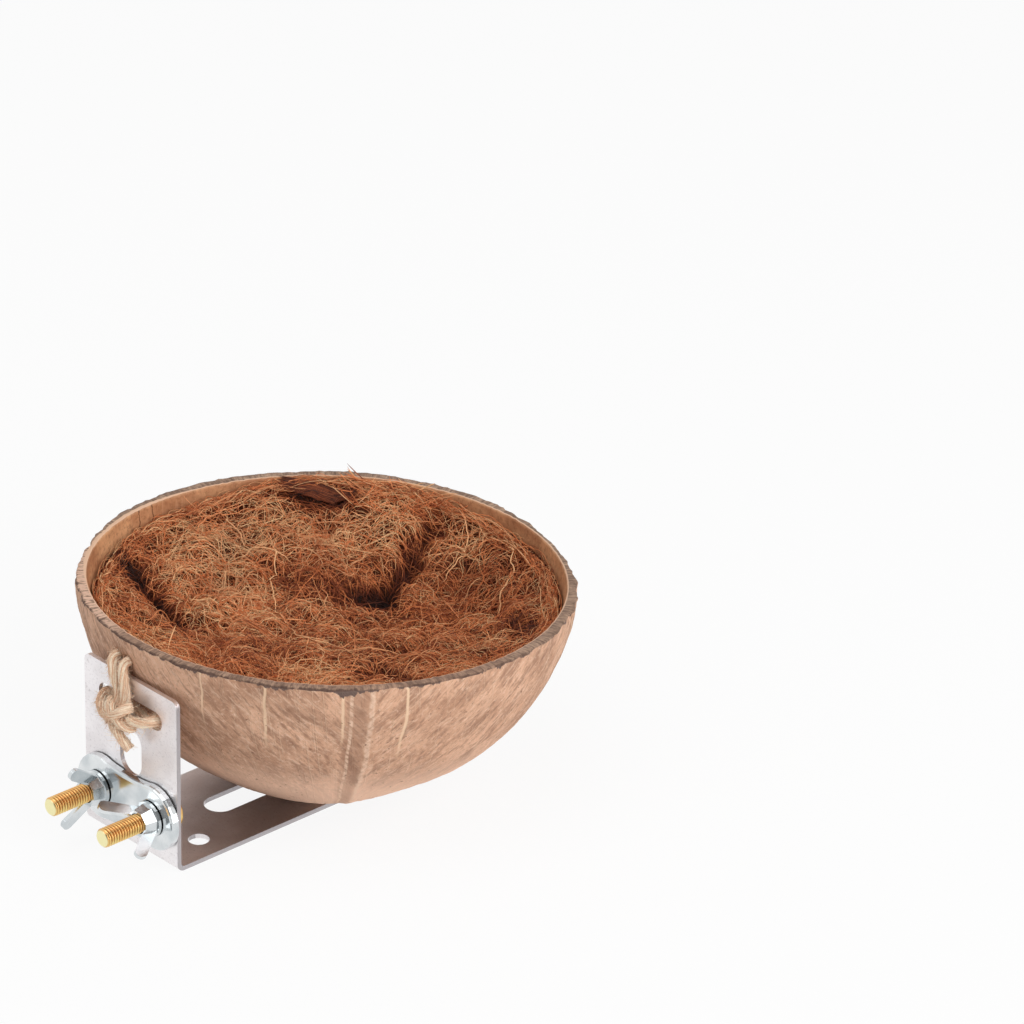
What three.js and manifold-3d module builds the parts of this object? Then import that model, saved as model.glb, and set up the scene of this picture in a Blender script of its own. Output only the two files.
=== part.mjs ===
// A coconut bird nest on a clamp bracket. Half a coconut shell with a coir lining is tied by a jute cord
// to a bent steel bracket, and two bolts, a clamp plate and two wing nuts fix the bracket to the bars of
// a cage. Millimetres, +Z up. X runs across the bracket and +Y from its upright towards the shell. The
// pieces are laid out from the upright's outer face and the leg's underside, and the finished nest is then
// moved so that its origin lies midway between the leg's two screw holes.

import * as THREE from 'three';
import { mergeVertices } from 'three/addons/utils/BufferGeometryUtils.js';
import Module from 'manifold-3d';

const wasm = await Module();
wasm.setup();

// Clearances
const seatGap = 0.3; // between pieces that lie on each other
const boreClearance = 0.25; // round a bolt
const cutMargin = 5; // how far a cutting tool runs past what it cuts
const weldDistance = 1e-4; // corners nearer than this are one corner
const arcSegments = 8; // of a rounded corner or of half a hole
const roundSectors = 24; // of a turned piece

// Sheet steel bracket
const sheetThickness = 1.2;
const bracketWidth = 35;
const uprightHeight = 47;
const legLength = 72;
const bendRadius = 2.2; // outside of the bend
const cornerRadius = 1.8;

// Holes and slots of the bracket
const holeSpacing = 20;
const holeSetback = 13; // from the outside of the bend, on the upright and on the leg
const slotWidth = 8.2;
const uprightSlotStart = 20; // above the leg's underside
const legSlotStart = 24.2; // from the upright's outer face
const legSlotLength = 24;
const tieSlotLength = 24;
const tieSlotWidth = 5;
const tieSlotDrop = 8; // from the upright's top edge to the middle of the slot
const slotBridge = 3.5; // of sheet between the tie slot and the upright's slot

// Bolts
const boltDiameter = 4.9;
const boltLength = 19; // under the head
const boltChamfer = 0.5;
const headAcrossFlats = 8;
const headThickness = 3.5;

// Clamp plate
const lobeRadius = 8.6;
const lobeSweep = THREE.MathUtils.degToRad(110); // from the lobe's end to the waist
const waistHalfWidth = 7.6;
const clampSheet = 1.2;
const clampDepth = 2.0; // from the rim that meets the bars to the front
const clampEdgeRounding = 0.8;

// Wing nuts
const flangeDiameter = 9.4;
const flangeThickness = 0.8;
const hubBaseDiameter = 8.6;
const hubTopDiameter = 7.0;
const hubHeight = 3.8;
const hubSides = 8;
const wingThickness = 1.1;
const wingTipReach = 7.7; // from the bolt's axis to the centre of the rounded tip
const wingTipHeight = 8.4; // from the nut's seat to the centre of the rounded tip
const wingTipRadius = 1.6;
const wingRootStep = 0.3; // from the flange and from the hub's top to the wing's root
const wingLean = THREE.MathUtils.degToRad(145); // of the tip's inner tangent point, from the radial direction
const leftNutTurn = THREE.MathUtils.degToRad(78);
const rightNutTurn = THREE.MathUtils.degToRad(154);

// Coconut shell
const rimRadius = 62.8;
const shellDepth = 51.9;
const shellWall = 3.2;
const depthPower = 1.76; // the wall follows a superellipse: fuller than an ellipse near the rim
const radiusPower = 2.46;
const shellTilt = THREE.MathUtils.degToRad(2.4); // raises the rim on the bracket's side
const shellSectors = 48;
const shellRings = 12;
const profileSamples = 400; // along the wall, to find where it touches the bracket
const cordHoleDiameter = 3.2;
const cordHoleSpacing = 4.4;
const cordHoleOffset = -4.1; // of the pair from the bracket's middle
const cordHoleRise = 3.5; // above the upright's top edge

// Coir liner
const linerGap = 0.5;
const linerRimDrop = 6.7; // of the liner's edge below the shell's rim
const linerRimWave = 3; // how far the edge rises and falls round the shell
const linerRimPeak = THREE.MathUtils.degToRad(115); // direction in which the edge is highest
const linerCentreDrop = 17; // of the middle below the shell's rim
const linerDishPower = 2.6; // the dish is flat in the middle and steep at the edge
const linerFoldFade = 8; // the folds keep their height until close to the edge
const linerCordRecess = 4.8; // the mat is pulled in from the wall where the cord passes inside
const linerCordRecessAngle = THREE.MathUtils.degToRad(16);
const linerRings = 12;

// Jute cord
const cordDiameter = 2.6;
const cordSides = 8;
const knotOffset = 1.3; // of the knot from the bracket's middle

// Closed meshes as solids

function closedMesh(geometry) {
  const bare = geometry.clone();
  bare.deleteAttribute('normal');
  bare.deleteAttribute('uv');
  const merged = mergeVertices(bare, weldDistance);
  const corners = merged.index.array;
  const kept = [];
  for (let i = 0; i < corners.length; i += 3) {
    const [a, b, c] = corners.slice(i, i + 3);
    if (a !== b && b !== c && c !== a) kept.push(a, b, c);
  }
  merged.setIndex(kept);
  return merged;
}

function solid(geometry) {
  const mesh = closedMesh(geometry);
  return new wasm.Manifold(new wasm.Mesh({
    numProp: 3,
    vertProperties: new Float32Array(mesh.attributes.position.array),
    triVerts: new Uint32Array(mesh.index.array),
  }));
}

function geometryOf(body) {
  const mesh = body.getMesh();
  const geometry = new THREE.BufferGeometry();
  geometry.setAttribute('position', new THREE.Float32BufferAttribute(mesh.vertProperties, 3));
  geometry.setIndex(Array.from(mesh.triVerts));
  return geometry;
}

function piece(name, geometry, look) {
  const mesh = new THREE.Mesh(geometry, new THREE.MeshStandardMaterial(look));
  mesh.name = name;
  return mesh;
}

// Outlines and prisms

function slotShape(x, y, length, width, angle) {
  const reach = (length - width) / 2;
  const dx = reach * Math.cos(angle);
  const dy = reach * Math.sin(angle);
  const shape = new THREE.Shape();
  shape.absarc(x + dx, y + dy, width / 2, angle - Math.PI / 2, angle + Math.PI / 2);
  shape.absarc(x - dx, y - dy, width / 2, angle + Math.PI / 2, angle + Math.PI * 1.5);
  return shape;
}

function circleShape(x, y, diameter) {
  return new THREE.Shape().absarc(x, y, diameter / 2, 0, Math.PI * 2);
}

// A shape drawn in X and Z, pushed along Y
function prismAlongY(shape, fromY, toY, options = {}) {
  const depth = toY - fromY;
  const settings = { depth, bevelEnabled: false, curveSegments: arcSegments, ...options };
  const geometry = new THREE.ExtrudeGeometry(shape, settings);
  return geometry.rotateX(Math.PI / 2).translate(0, toY, 0);
}

// A shape drawn in X and Y, pushed along Z
function prismAlongZ(shape, fromZ, toZ) {
  const depth = toZ - fromZ;
  const settings = { depth, bevelEnabled: false, curveSegments: arcSegments };
  const geometry = new THREE.ExtrudeGeometry(shape, settings);
  return geometry.translate(0, 0, fromZ);
}

// A profile of radius and height, turned about Z
function turned(profile, sectors) {
  const points = profile.map(([r, z]) => new THREE.Vector2(r, z));
  return new THREE.LatheGeometry(points, sectors).rotateX(Math.PI / 2);
}

const boltPlaces = [-holeSpacing / 2, holeSpacing / 2];
const boltHoleDiameter = boltDiameter + 2 * boreClearance;
const tieSlotHeight = uprightHeight - tieSlotDrop;
const uprightSlotEnd = tieSlotHeight - tieSlotWidth / 2 - slotBridge;
const uprightSlotLength = uprightSlotEnd - uprightSlotStart;

// Bracket: a strip bent to an L, with rounded ends and punched holes

function bentStrip() {
  const legEnd = legLength + cutMargin;
  const uprightEnd = uprightHeight + cutMargin;
  const profile = new THREE.Shape();
  profile.moveTo(legEnd, 0);
  profile.lineTo(bendRadius, 0);
  profile.absarc(bendRadius, bendRadius, bendRadius, -Math.PI / 2, -Math.PI, true);
  profile.lineTo(0, uprightEnd);
  profile.lineTo(sheetThickness, uprightEnd);
  profile.absarc(bendRadius, bendRadius, bendRadius - sheetThickness, Math.PI, Math.PI * 1.5);
  profile.lineTo(legEnd, sheetThickness);
  const width = bracketWidth + 2 * cutMargin;
  const settings = { depth: width, bevelEnabled: false, curveSegments: arcSegments };
  const geometry = new THREE.ExtrudeGeometry(profile, settings);
  return geometry.rotateX(Math.PI / 2).rotateZ(Math.PI / 2).translate(-width / 2, 0, 0);
}

function roundedStrip(end) {
  const half = bracketWidth / 2;
  const shape = new THREE.Shape();
  shape.moveTo(-half, -cutMargin);
  shape.lineTo(half, -cutMargin);
  shape.absarc(half - cornerRadius, end - cornerRadius, cornerRadius, 0, Math.PI / 2);
  shape.absarc(-half + cornerRadius, end - cornerRadius, cornerRadius, Math.PI / 2, Math.PI);
  return shape;
}

function bracketGeometry() {
  const upright = prismAlongY(roundedStrip(uprightHeight), -cutMargin, legLength + cutMargin);
  const leg = prismAlongZ(roundedStrip(legLength), -cutMargin, uprightHeight + cutMargin);
  let bracket = solid(bentStrip()).intersect(solid(upright)).intersect(solid(leg));
  const uprightSlotMiddle = uprightSlotStart + uprightSlotLength / 2;
  const legSlotMiddle = legSlotStart + legSlotLength / 2;
  const throughUpright = [
    slotShape(0, uprightSlotMiddle, uprightSlotLength, slotWidth, Math.PI / 2),
    slotShape(0, tieSlotHeight, tieSlotLength, tieSlotWidth, 0),
    ...boltPlaces.map((x) => circleShape(x, holeSetback, boltHoleDiameter)),
  ];
  const throughLeg = [
    slotShape(0, legSlotMiddle, legSlotLength, slotWidth, Math.PI / 2),
    ...boltPlaces.map((x) => circleShape(x, holeSetback, boltHoleDiameter)),
  ];
  for (const shape of throughUpright) {
    bracket = bracket.subtract(solid(prismAlongY(shape, -sheetThickness, 2 * sheetThickness)));
  }
  for (const shape of throughLeg) {
    bracket = bracket.subtract(solid(prismAlongZ(shape, -sheetThickness, 2 * sheetThickness)));
  }
  return geometryOf(bracket);
}

// Bolts: hexagon head behind the upright, chamfered end in front of it

function boltGeometry() {
  const radius = boltDiameter / 2;
  const headRadius = headAcrossFlats / 2 / Math.cos(Math.PI / 6);
  const head = turned([[0, -headThickness], [headRadius, -headThickness], [headRadius, 0], [0, 0]], 6);
  const shank = turned([
    [0, -headThickness / 2],
    [radius, -headThickness / 2],
    [radius, boltLength - boltChamfer],
    [radius - boltChamfer, boltLength],
    [0, boltLength],
  ], roundSectors);
  return geometryOf(solid(head).add(solid(shank))).rotateX(Math.PI / 2);
}

// Clamp plate: two round lobes and a shallow waist, stamped so that its rim stands towards the bars

function clampShape(inset) {
  const radius = lobeRadius - inset;
  const waistStart = radius * Math.cos(lobeSweep);
  const waistEnd = radius * Math.sin(lobeSweep);
  const waistControl = 2 * (waistHalfWidth - inset) - waistEnd;
  const [left, right] = boltPlaces;
  const shape = new THREE.Shape();
  shape.absarc(right, holeSetback, radius, -lobeSweep, lobeSweep);
  shape.quadraticCurveTo(0, holeSetback + waistControl, left - waistStart, holeSetback + waistEnd);
  shape.absarc(left, holeSetback, radius, Math.PI - lobeSweep, Math.PI + lobeSweep);
  shape.quadraticCurveTo(0, holeSetback - waistControl, right + waistStart, holeSetback - waistEnd);
  return shape;
}

function clampGeometry() {
  const back = -seatGap;
  const front = back - clampDepth;
  const rounding = {
    bevelEnabled: true,
    bevelThickness: clampEdgeRounding,
    bevelSize: clampEdgeRounding,
    bevelOffset: -clampEdgeRounding,
    bevelSegments: 3,
  };
  const blank = prismAlongY(clampShape(0), front + clampEdgeRounding, back + cutMargin, rounding);
  const span = holeSpacing + 2 * lobeRadius;
  const behind = new THREE.BoxGeometry(2 * span, 4 * cutMargin, 2 * span);
  behind.translate(0, back + 2 * cutMargin, holeSetback);
  const hollow = prismAlongY(clampShape(clampSheet), front + clampSheet, back + cutMargin);
  let plate = solid(blank).subtract(solid(behind)).subtract(solid(hollow));
  for (const x of boltPlaces) {
    const hole = circleShape(x, holeSetback, boltHoleDiameter);
    plate = plate.subtract(solid(prismAlongY(hole, front - cutMargin, back + cutMargin)));
  }
  return geometryOf(plate);
}

// Wing nuts: a flange, a faceted hub and two thin wings that lean out along the bolt

function wingShape() {
  const rootRadius = hubBaseDiameter / 2;
  const shape = new THREE.Shape();
  shape.moveTo(boltDiameter / 2, flangeThickness);
  shape.lineTo(rootRadius, flangeThickness + wingRootStep);
  shape.absarc(wingTipReach, wingTipHeight, wingTipRadius, wingLean - Math.PI, wingLean);
  shape.lineTo(boltDiameter / 2, hubHeight - wingRootStep);
  return shape;
}

function wingNutGeometry(turn) {
  const flangeRadius = flangeDiameter / 2;
  const flange = turned([
    [0, 0],
    [flangeRadius, 0],
    [flangeRadius, flangeThickness],
    [0, flangeThickness],
  ], roundSectors);
  const hub = turned([
    [0, flangeThickness / 2],
    [hubBaseDiameter / 2, flangeThickness / 2],
    [hubTopDiameter / 2, hubHeight],
    [0, hubHeight],
  ], hubSides);
  let nut = solid(flange).add(solid(hub));
  for (const side of [0, Math.PI]) {
    const wing = prismAlongY(wingShape(), -wingThickness / 2, wingThickness / 2);
    nut = nut.add(solid(wing.rotateZ(side)));
  }
  const bore = prismAlongZ(circleShape(0, 0, boltHoleDiameter), -cutMargin, hubHeight + cutMargin);
  return geometryOf(nut.subtract(solid(bore))).rotateZ(turn).rotateX(Math.PI / 2);
}

// Coconut shell: a superellipse turned about its own axis, which leans back from the bracket

function wallPoint(turn, radius, depth, base) {
  const r = radius * Math.sin(turn) ** (2 / radiusPower);
  const z = base + depth * (1 - Math.abs(Math.cos(turn)) ** (2 / depthPower));
  return [r, z];
}

function wallTurns(count) {
  return Array.from({ length: count + 1 }, (_, i) => (i / count) * (Math.PI / 2));
}

const outerWall = (turn) => wallPoint(turn, rimRadius, shellDepth, 0);
const innerWall = (turn) => wallPoint(turn, rimRadius - shellWall, shellDepth - shellWall, shellWall);

// The wall's outline on the bracket's side, as reach from the shell's axis and height above its base
const tiltSine = Math.sin(shellTilt);
const tiltCosine = Math.cos(shellTilt);
const wallSamples = wallTurns(profileSamples).map(outerWall);
const nearOutline = wallSamples.map(([r, z]) => ({
  reach: r * tiltCosine - z * tiltSine,
  height: r * tiltSine + z * tiltCosine,
}));
const nearRim = nearOutline[nearOutline.length - 1];
const reachAt = (height) => (nearOutline.find((point) => point.height >= height) ?? nearRim).reach;

// The shell stands on the leg and leans on the upright's top edge, a seat gap from both
const lowestPoint = Math.min(...wallSamples.map(([r, z]) => z * tiltCosine - r * tiltSine));
const seatHeight = sheetThickness + seatGap - lowestPoint;
const seatDistance = sheetThickness + seatGap + reachAt(uprightHeight - seatHeight);
const shellPlace = new THREE.Matrix4().makeRotationX(-shellTilt).setPosition(0, seatDistance, seatHeight);

// The cord's two holes lie between the upright's top edge and the rim
const cordHoleHeight = uprightHeight + cordHoleRise;
const cordHoles = [-1, 1].map((side) => cordHoleOffset + (side * cordHoleSpacing) / 2);
const wallFace = seatDistance - reachAt(cordHoleHeight - seatHeight);

function shellGeometry() {
  const outside = wallTurns(shellRings).map(outerWall);
  const inside = wallTurns(shellRings).map(innerWall).reverse();
  const blank = turned([...outside, ...inside], shellSectors).applyMatrix4(shellPlace);
  let shell = solid(blank);
  for (const x of cordHoles) {
    const hole = circleShape(x, cordHoleHeight, cordHoleDiameter);
    shell = shell.subtract(solid(prismAlongY(hole, wallFace - cutMargin, wallFace + shellWall + cutMargin)));
  }
  return geometryOf(shell);
}

// Coir liner: fills the shell's bottom, with a dished and crumpled top

const linerRadius = rimRadius - shellWall - linerGap;

// Folds of the mat, each along a line in plan from the shell's axis, with a width and a rise, all in
// shares of the liner's radius: a positive rise is a swell, a negative one a crease
const folds = [
  { from: [-0.68, -0.12], to: [-0.42, 0.3], width: 0.3, rise: 0.08 }, // broad swell on the left
  { from: [0.05, 0.42], to: [0.22, 0.62], width: 0.26, rise: -0.09 }, // cup of the nest
  { from: [-0.36, 0.82], to: [-0.25, 0.14], width: 0.14, rise: 0.05 }, // lip above the cup
  { from: [-0.19, 0.74], to: [-0.06, 0.14], width: 0.09, rise: -0.08 }, // crease under the lip
  { from: [-0.84, -0.42], to: [-0.26, -0.55], width: 0.1, rise: -0.14 }, // groove by the bracket
  { from: [-0.8, 0.5], to: [-0.58, 0.73], width: 0.1, rise: -0.1 }, // gap under the rolled edge
];

function foldHeight(x, y) {
  let height = 0;
  for (const { from, to, width, rise } of folds) {
    const start = new THREE.Vector2(...from);
    const along = new THREE.Vector2(...to).sub(start);
    const offset = new THREE.Vector2(x, y).divideScalar(linerRadius).sub(start);
    const share = THREE.MathUtils.clamp(offset.dot(along) / along.lengthSq(), 0, 1);
    const distance = offset.distanceTo(along.multiplyScalar(share));
    height += rise * linerRadius * Math.exp(-((distance / width) ** 2));
  }
  return height;
}

function linerEdge(angle) {
  const height = shellDepth - linerRimDrop + linerRimWave * Math.cos(angle - linerRimPeak);
  const turn = Math.acos(((shellDepth - height) / (shellDepth - shellWall - linerGap)) ** (depthPower / 2));
  const radius = wallPoint(turn, linerRadius, 1, 0)[0];
  return { height, turn, radius };
}

function linerRecess(angle) {
  const cordAngle = Math.atan2(-rimRadius, cordHoleOffset);
  const away = Math.atan2(Math.sin(angle - cordAngle), Math.cos(angle - cordAngle));
  return linerCordRecess * Math.exp(-((away / linerCordRecessAngle) ** 4));
}

function linerGeometry() {
  const points = [];
  const corners = [];
  const rows = 2 * linerRings - 1;
  for (let sector = 0; sector < shellSectors; sector += 1) {
    const angle = (sector / shellSectors) * Math.PI * 2 - Math.PI / 2;
    const edge = linerEdge(angle);
    const recess = linerRecess(angle);
    const place = (radius, height) => points.push(radius * Math.cos(angle), radius * Math.sin(angle), height);
    for (let ring = 1; ring <= linerRings; ring += 1) {
      const share = ring / linerRings;
      const inner = [linerRadius, shellDepth - shellWall - linerGap, shellWall + linerGap];
      const [radius, height] = wallPoint(edge.turn * share, ...inner);
      place(radius - recess * share ** 2, height);
    }
    for (let ring = linerRings - 1; ring >= 1; ring -= 1) {
      const share = ring / linerRings;
      const radius = (edge.radius - recess) * share;
      const middle = shellDepth - linerCentreDrop;
      const dish = middle + (edge.height - middle) * share ** linerDishPower;
      const fold = foldHeight(radius * Math.cos(angle), radius * Math.sin(angle));
      place(radius, dish + fold * (1 - share ** linerFoldFade));
    }
  }
  const bottom = points.push(0, 0, shellWall + linerGap) / 3 - 1;
  const top = points.push(0, 0, shellDepth - linerCentreDrop + foldHeight(0, 0)) / 3 - 1;
  for (let sector = 0; sector < shellSectors; sector += 1) {
    const here = sector * rows;
    const next = ((sector + 1) % shellSectors) * rows;
    corners.push(bottom, next, here);
    for (let row = 0; row < rows - 1; row += 1) {
      corners.push(here + row, next + row, next + row + 1);
      corners.push(here + row, next + row + 1, here + row + 1);
    }
    corners.push(here + rows - 1, next + rows - 1, top);
  }
  const geometry = new THREE.BufferGeometry();
  geometry.setAttribute('position', new THREE.Float32BufferAttribute(points, 3));
  geometry.setIndex(corners);
  return geometry.applyMatrix4(shellPlace);
}

// Jute cord: a loop through the shell's two holes, one through the bracket's tie slot, and a knot between

const cordRadius = cordDiameter / 2;
const cordFront = -seatGap - cordRadius; // middle of a cord that lies on the upright's front
const cordBehind = sheetThickness + seatGap + cordRadius; // and of one that lies behind it
const cordInside = wallFace + shellWall + cordDiameter; // and of the loop inside the shell
const armReach = tieSlotLength / 2 - cordDiameter;

// A point of the knot, in cord diameters: across and up from its middle, and out from the upright
function knotPoint(across, out, up) {
  const x = knotOffset + across * cordDiameter;
  return [x, cordFront - out * cordDiameter, tieSlotHeight + up * cordDiameter];
}

// One strand, from the knot up over the upright's top edge and into a hole of the shell
function strand(hole, knot) {
  const between = (share) => hole + (knotOffset + knot * cordDiameter - hole) * share;
  return [
    knotPoint(knot, 0.6, 0.4),
    [between(0.8), cordFront - seatGap, tieSlotHeight + tieSlotDrop / 2],
    [between(0.4), cordFront, uprightHeight + seatGap],
    [between(0.1), cordFront / 2, cordHoleHeight - cordRadius / 2],
    [hole, wallFace + seatGap, cordHoleHeight],
    [hole, wallFace + shellWall - seatGap, cordHoleHeight],
  ];
}

// One arm, from the knot to its end of the tie slot and behind the upright. It leaves the knot a drop below
// the slot's middle.
function arm(side, drop) {
  return [
    [side * 0.5 * armReach, cordFront - 0.8 * cordDiameter, tieSlotHeight - drop],
    [side * 0.8 * armReach, cordFront - cordRadius, tieSlotHeight - drop / 2],
    [side * armReach, cordFront / 2, tieSlotHeight],
    [side * armReach, cordBehind / 2, tieSlotHeight],
    [side * 0.8 * armReach, cordBehind, tieSlotHeight - cordRadius],
    [side * 0.5 * armReach, cordBehind, tieSlotHeight - cordDiameter],
  ];
}

const loopInside = [
  [cordHoles[0] + seatGap, cordInside - cordRadius / 2, cordHoleHeight],
  [cordHoleOffset, cordInside, cordHoleHeight],
  [cordHoles[1] - seatGap, cordInside - cordRadius / 2, cordHoleHeight],
];
const loopBehind = [[0, cordBehind, tieSlotHeight - 1.2 * cordDiameter]];

const cordRoutes = [
  // out of the shell by one hole and back by the other
  { steps: 34, points: [...strand(cordHoles[0], -0.8), ...loopInside, ...strand(cordHoles[1], 0).reverse()] },
  // through both ends of the tie slot, behind the upright
  {
    steps: 34,
    points: [
      knotPoint(-0.4, 0.6, 0),
      ...arm(-1, cordDiameter),
      ...loopBehind,
      ...arm(1, cordRadius / 2).reverse(),
      knotPoint(0.2, 0.6, 0),
    ],
  },
  // first turn of the knot
  {
    steps: 12,
    points: [
      knotPoint(-2.0, 0.4, -1.3),
      knotPoint(-1.5, 1.1, -1.0),
      knotPoint(-0.3, 1.5, -0.1),
      knotPoint(0.7, 1.1, 0.8),
      knotPoint(1.0, 0.4, 0.9),
    ],
  },
  // second turn of the knot
  {
    steps: 12,
    points: [
      knotPoint(-1.8, 0.4, 0.7),
      knotPoint(-1.2, 1.2, 0.4),
      knotPoint(0.1, 1.4, -0.5),
      knotPoint(1.1, 1.0, -1.0),
      knotPoint(1.4, 0.4, -1.0),
    ],
  },
  // cut tail
  {
    steps: 8,
    points: [
      knotPoint(-1.6, 0.6, -0.9),
      knotPoint(-0.9, 1.1, -1.4),
      knotPoint(0.1, 1.2, -2.2),
      knotPoint(1.3, 0.9, -3.2),
    ],
  },
];

function cordTube({ points, steps }) {
  const stations = points.map((point) => new THREE.Vector3(...point));
  const path = new THREE.CatmullRomCurve3(stations, false, 'centripetal');
  const section = new THREE.Shape();
  for (let side = 0; side < cordSides; side += 1) {
    const angle = (side / cordSides) * Math.PI * 2;
    const point = [cordRadius * Math.cos(angle), cordRadius * Math.sin(angle)];
    if (side === 0) section.moveTo(...point);
    else section.lineTo(...point);
  }
  return new THREE.ExtrudeGeometry(section, { steps, extrudePath: path, bevelEnabled: false });
}

function cordGeometry() {
  const tubes = cordRoutes.map((route) => solid(cordTube(route)));
  return geometryOf(tubes.reduce((cord, tube) => cord.add(tube)));
}

// Finishes
const satinSteel = { color: 0xd9d6d8, roughness: 0.42, metalness: 1 };
const brightZinc = { color: 0xd3dcde, roughness: 0.2, metalness: 1 };
const yellowZinc = { color: 0xd9b95c, roughness: 0.3, metalness: 1 };
const husk = { color: 0xb48c6e, roughness: 0.7, metalness: 0 };
const coir = { color: 0x965a37, roughness: 0.9, metalness: 0 };
const jute = { color: 0xcdaa82, roughness: 0.9, metalness: 0 };

const nest = new THREE.Group();
nest.position.y = -holeSetback;

nest.add(piece('mounting_bracket', bracketGeometry(), satinSteel));
nest.add(piece('clamp_plate', clampGeometry(), brightZinc));
nest.add(piece('coconut_shell', shellGeometry(), husk));
nest.add(piece('coir_liner', linerGeometry(), coir));
nest.add(piece('tie_cord', cordGeometry(), jute));

const nutTurns = [leftNutTurn, rightNutTurn];
['left', 'right'].forEach((side, i) => {
  const bolt = piece(`bolt_${side}`, boltGeometry(), yellowZinc);
  bolt.position.set(boltPlaces[i], sheetThickness + seatGap, holeSetback);
  const nut = piece(`wing_nut_${side}`, wingNutGeometry(nutTurns[i]), brightZinc);
  nut.position.set(boltPlaces[i], -2 * seatGap - clampDepth, holeSetback);
  nest.add(bolt, nut);
});

export default nest;
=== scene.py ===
# Looks of a coconut bird nest on a clamp bracket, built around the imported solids.
# Sizes are real millimetres in the row frame, and MM turns them into Blender's metres.

from math import atan2, cos, pi, radians, sin, tau

import bmesh
import bpy
import numpy as np
from mathutils import Matrix, Vector


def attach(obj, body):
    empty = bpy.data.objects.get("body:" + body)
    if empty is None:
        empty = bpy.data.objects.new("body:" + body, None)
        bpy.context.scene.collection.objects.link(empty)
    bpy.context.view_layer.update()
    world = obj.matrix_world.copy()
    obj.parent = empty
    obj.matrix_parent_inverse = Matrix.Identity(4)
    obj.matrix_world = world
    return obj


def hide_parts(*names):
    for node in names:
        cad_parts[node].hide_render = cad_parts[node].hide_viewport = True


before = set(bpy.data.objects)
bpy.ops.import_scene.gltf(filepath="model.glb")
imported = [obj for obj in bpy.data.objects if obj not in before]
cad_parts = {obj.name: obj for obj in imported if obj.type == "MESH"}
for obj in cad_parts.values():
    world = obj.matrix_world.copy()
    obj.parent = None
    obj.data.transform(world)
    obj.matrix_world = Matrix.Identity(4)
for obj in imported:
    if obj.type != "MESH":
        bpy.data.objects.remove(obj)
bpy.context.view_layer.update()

MM = 0.001
random = np.random.default_rng(53)

# Camera
VIEW_AZIMUTH = 49.2  # degrees
VIEW_ELEVATION = 28.66
VIEW_DISTANCE = 1400
VIEW_POINT = (0, 37, 30)  # a point on the nest, which is seen at VIEW_PIXEL
VIEW_PIXEL = (286.4, 674.8)
FRAME_PIXELS = 1024
FOCAL_PIXELS = 5617
SENSOR_WIDTH = 36

# Light
WORLD_LIGHT = 0.45
DARK_SIDE = (60, 38)  # azimuth and elevation of the room's dark side, which only reflections show
DARK_SIDE_DEPTH = 0.75
FLOOR_WHITE = 0.9  # how far the floor is plain white where it is seen, over its own shade
FLOOR_REACH = 3000
FLOOR_DROP = 0.3  # below the bracket's leg
LAMP_DISTANCE = 1300
LAMPS = {  # azimuth and elevation in degrees, diameter in metres and watts
    "right": (100, 4, 1.0, 8.0),
    "high_right": (95, 38, 0.8, 4.5),
    "left": (350, 50, 0.8, 1.5),
    "top": (20, 75, 1.0, 4.0),
}

# Coconut shell, with directions round its axis in degrees from +X towards +Y
SHELL_SEAT = (0, 48.26, 1.66)  # foot of the shell's axis
SHELL_TILT = radians(2.4)  # the rim is higher on the bracket's side
RIM_RADIUS = 62.8
SHELL_DEPTH = 51.9
SHELL_WALL = 3.2
DEPTH_POWER = 1.76
RADIUS_POWER = 2.46
SHELL_SECTORS = 320
WALL_RINGS = 59  # of the mesh below the rim, on each side of the wall
FOOT_TURN = 0.02  # where the rings start, beside the axis
RIM_SECTION = (  # share of the wall from its outside, height, and how much of the husk's relief is there
    (0, -0.3, 1), (0.06, 0.0, 1), (0.2, 0.12, 0.8), (0.4, 0.1, 0.6),
    (0.6, 0.1, 0.4), (0.8, 0.06, 0.2), (0.94, -0.05, 0), (1, -0.35, 0),
)
SUTURES = [radians(-31 + 120 * k) for k in range(3)]  # directions of the ridges, one of them in front
SUTURE_RELIEF = ((0, 0.45, 1.6), (-3.5, -0.25, 2.5))  # distance aside, height and width
SUTURE_LINES = ((0, 1.0), (-5, 0.7))  # distance aside and width of the pale lines
SUTURE_BAND = radians(-3.2)  # how far aside the dark band is
SKIN_LINES = (  # direction, width and reach below the rim of pale lines
    (-70, 0.4, 18), (-55, 0.5, 22), (-37.5, 0.5, 20), (-23, 0.55, 26), (38, 0.5, 25), (140, 0.5, 22),
)
TORN_SKIN = radians(-34)  # where most of the skin is torn off below the rim
RIM_DIP = 1.1  # how much lower the rim is at its lowest place
RIM_DIP_PLACE = radians(175)
RIM_FLATS = ((66, 14, 1.3), (85, 12, 0.8), (-145, 18, 0.8))  # direction, spread and depth of flat places
BULGE = (-45, 25, 2.3, 7, 8)  # direction, spread, size, height and reach of the bulge at the foot
DARK_RIM = radians(-65)  # where the sawn rim is darkest
PALE_RIM = radians(-122)  # where it is palest
WORN_EDGE = radians(-155)  # where its inner edge is worn most
CRACKS = [radians(-173), radians(-168)]  # in the inner wall
CORD_HOLE_RADIUS = 1.6
CORD_HOLES = (-6.3, -1.9)  # places across the bracket
CORD_HOLE_HEIGHT = 50.5
HOLE_SIDES = 24
DRILL_MARGIN = 4
WALL_FACE = -12.04  # outside of the shell at the cord holes

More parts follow.
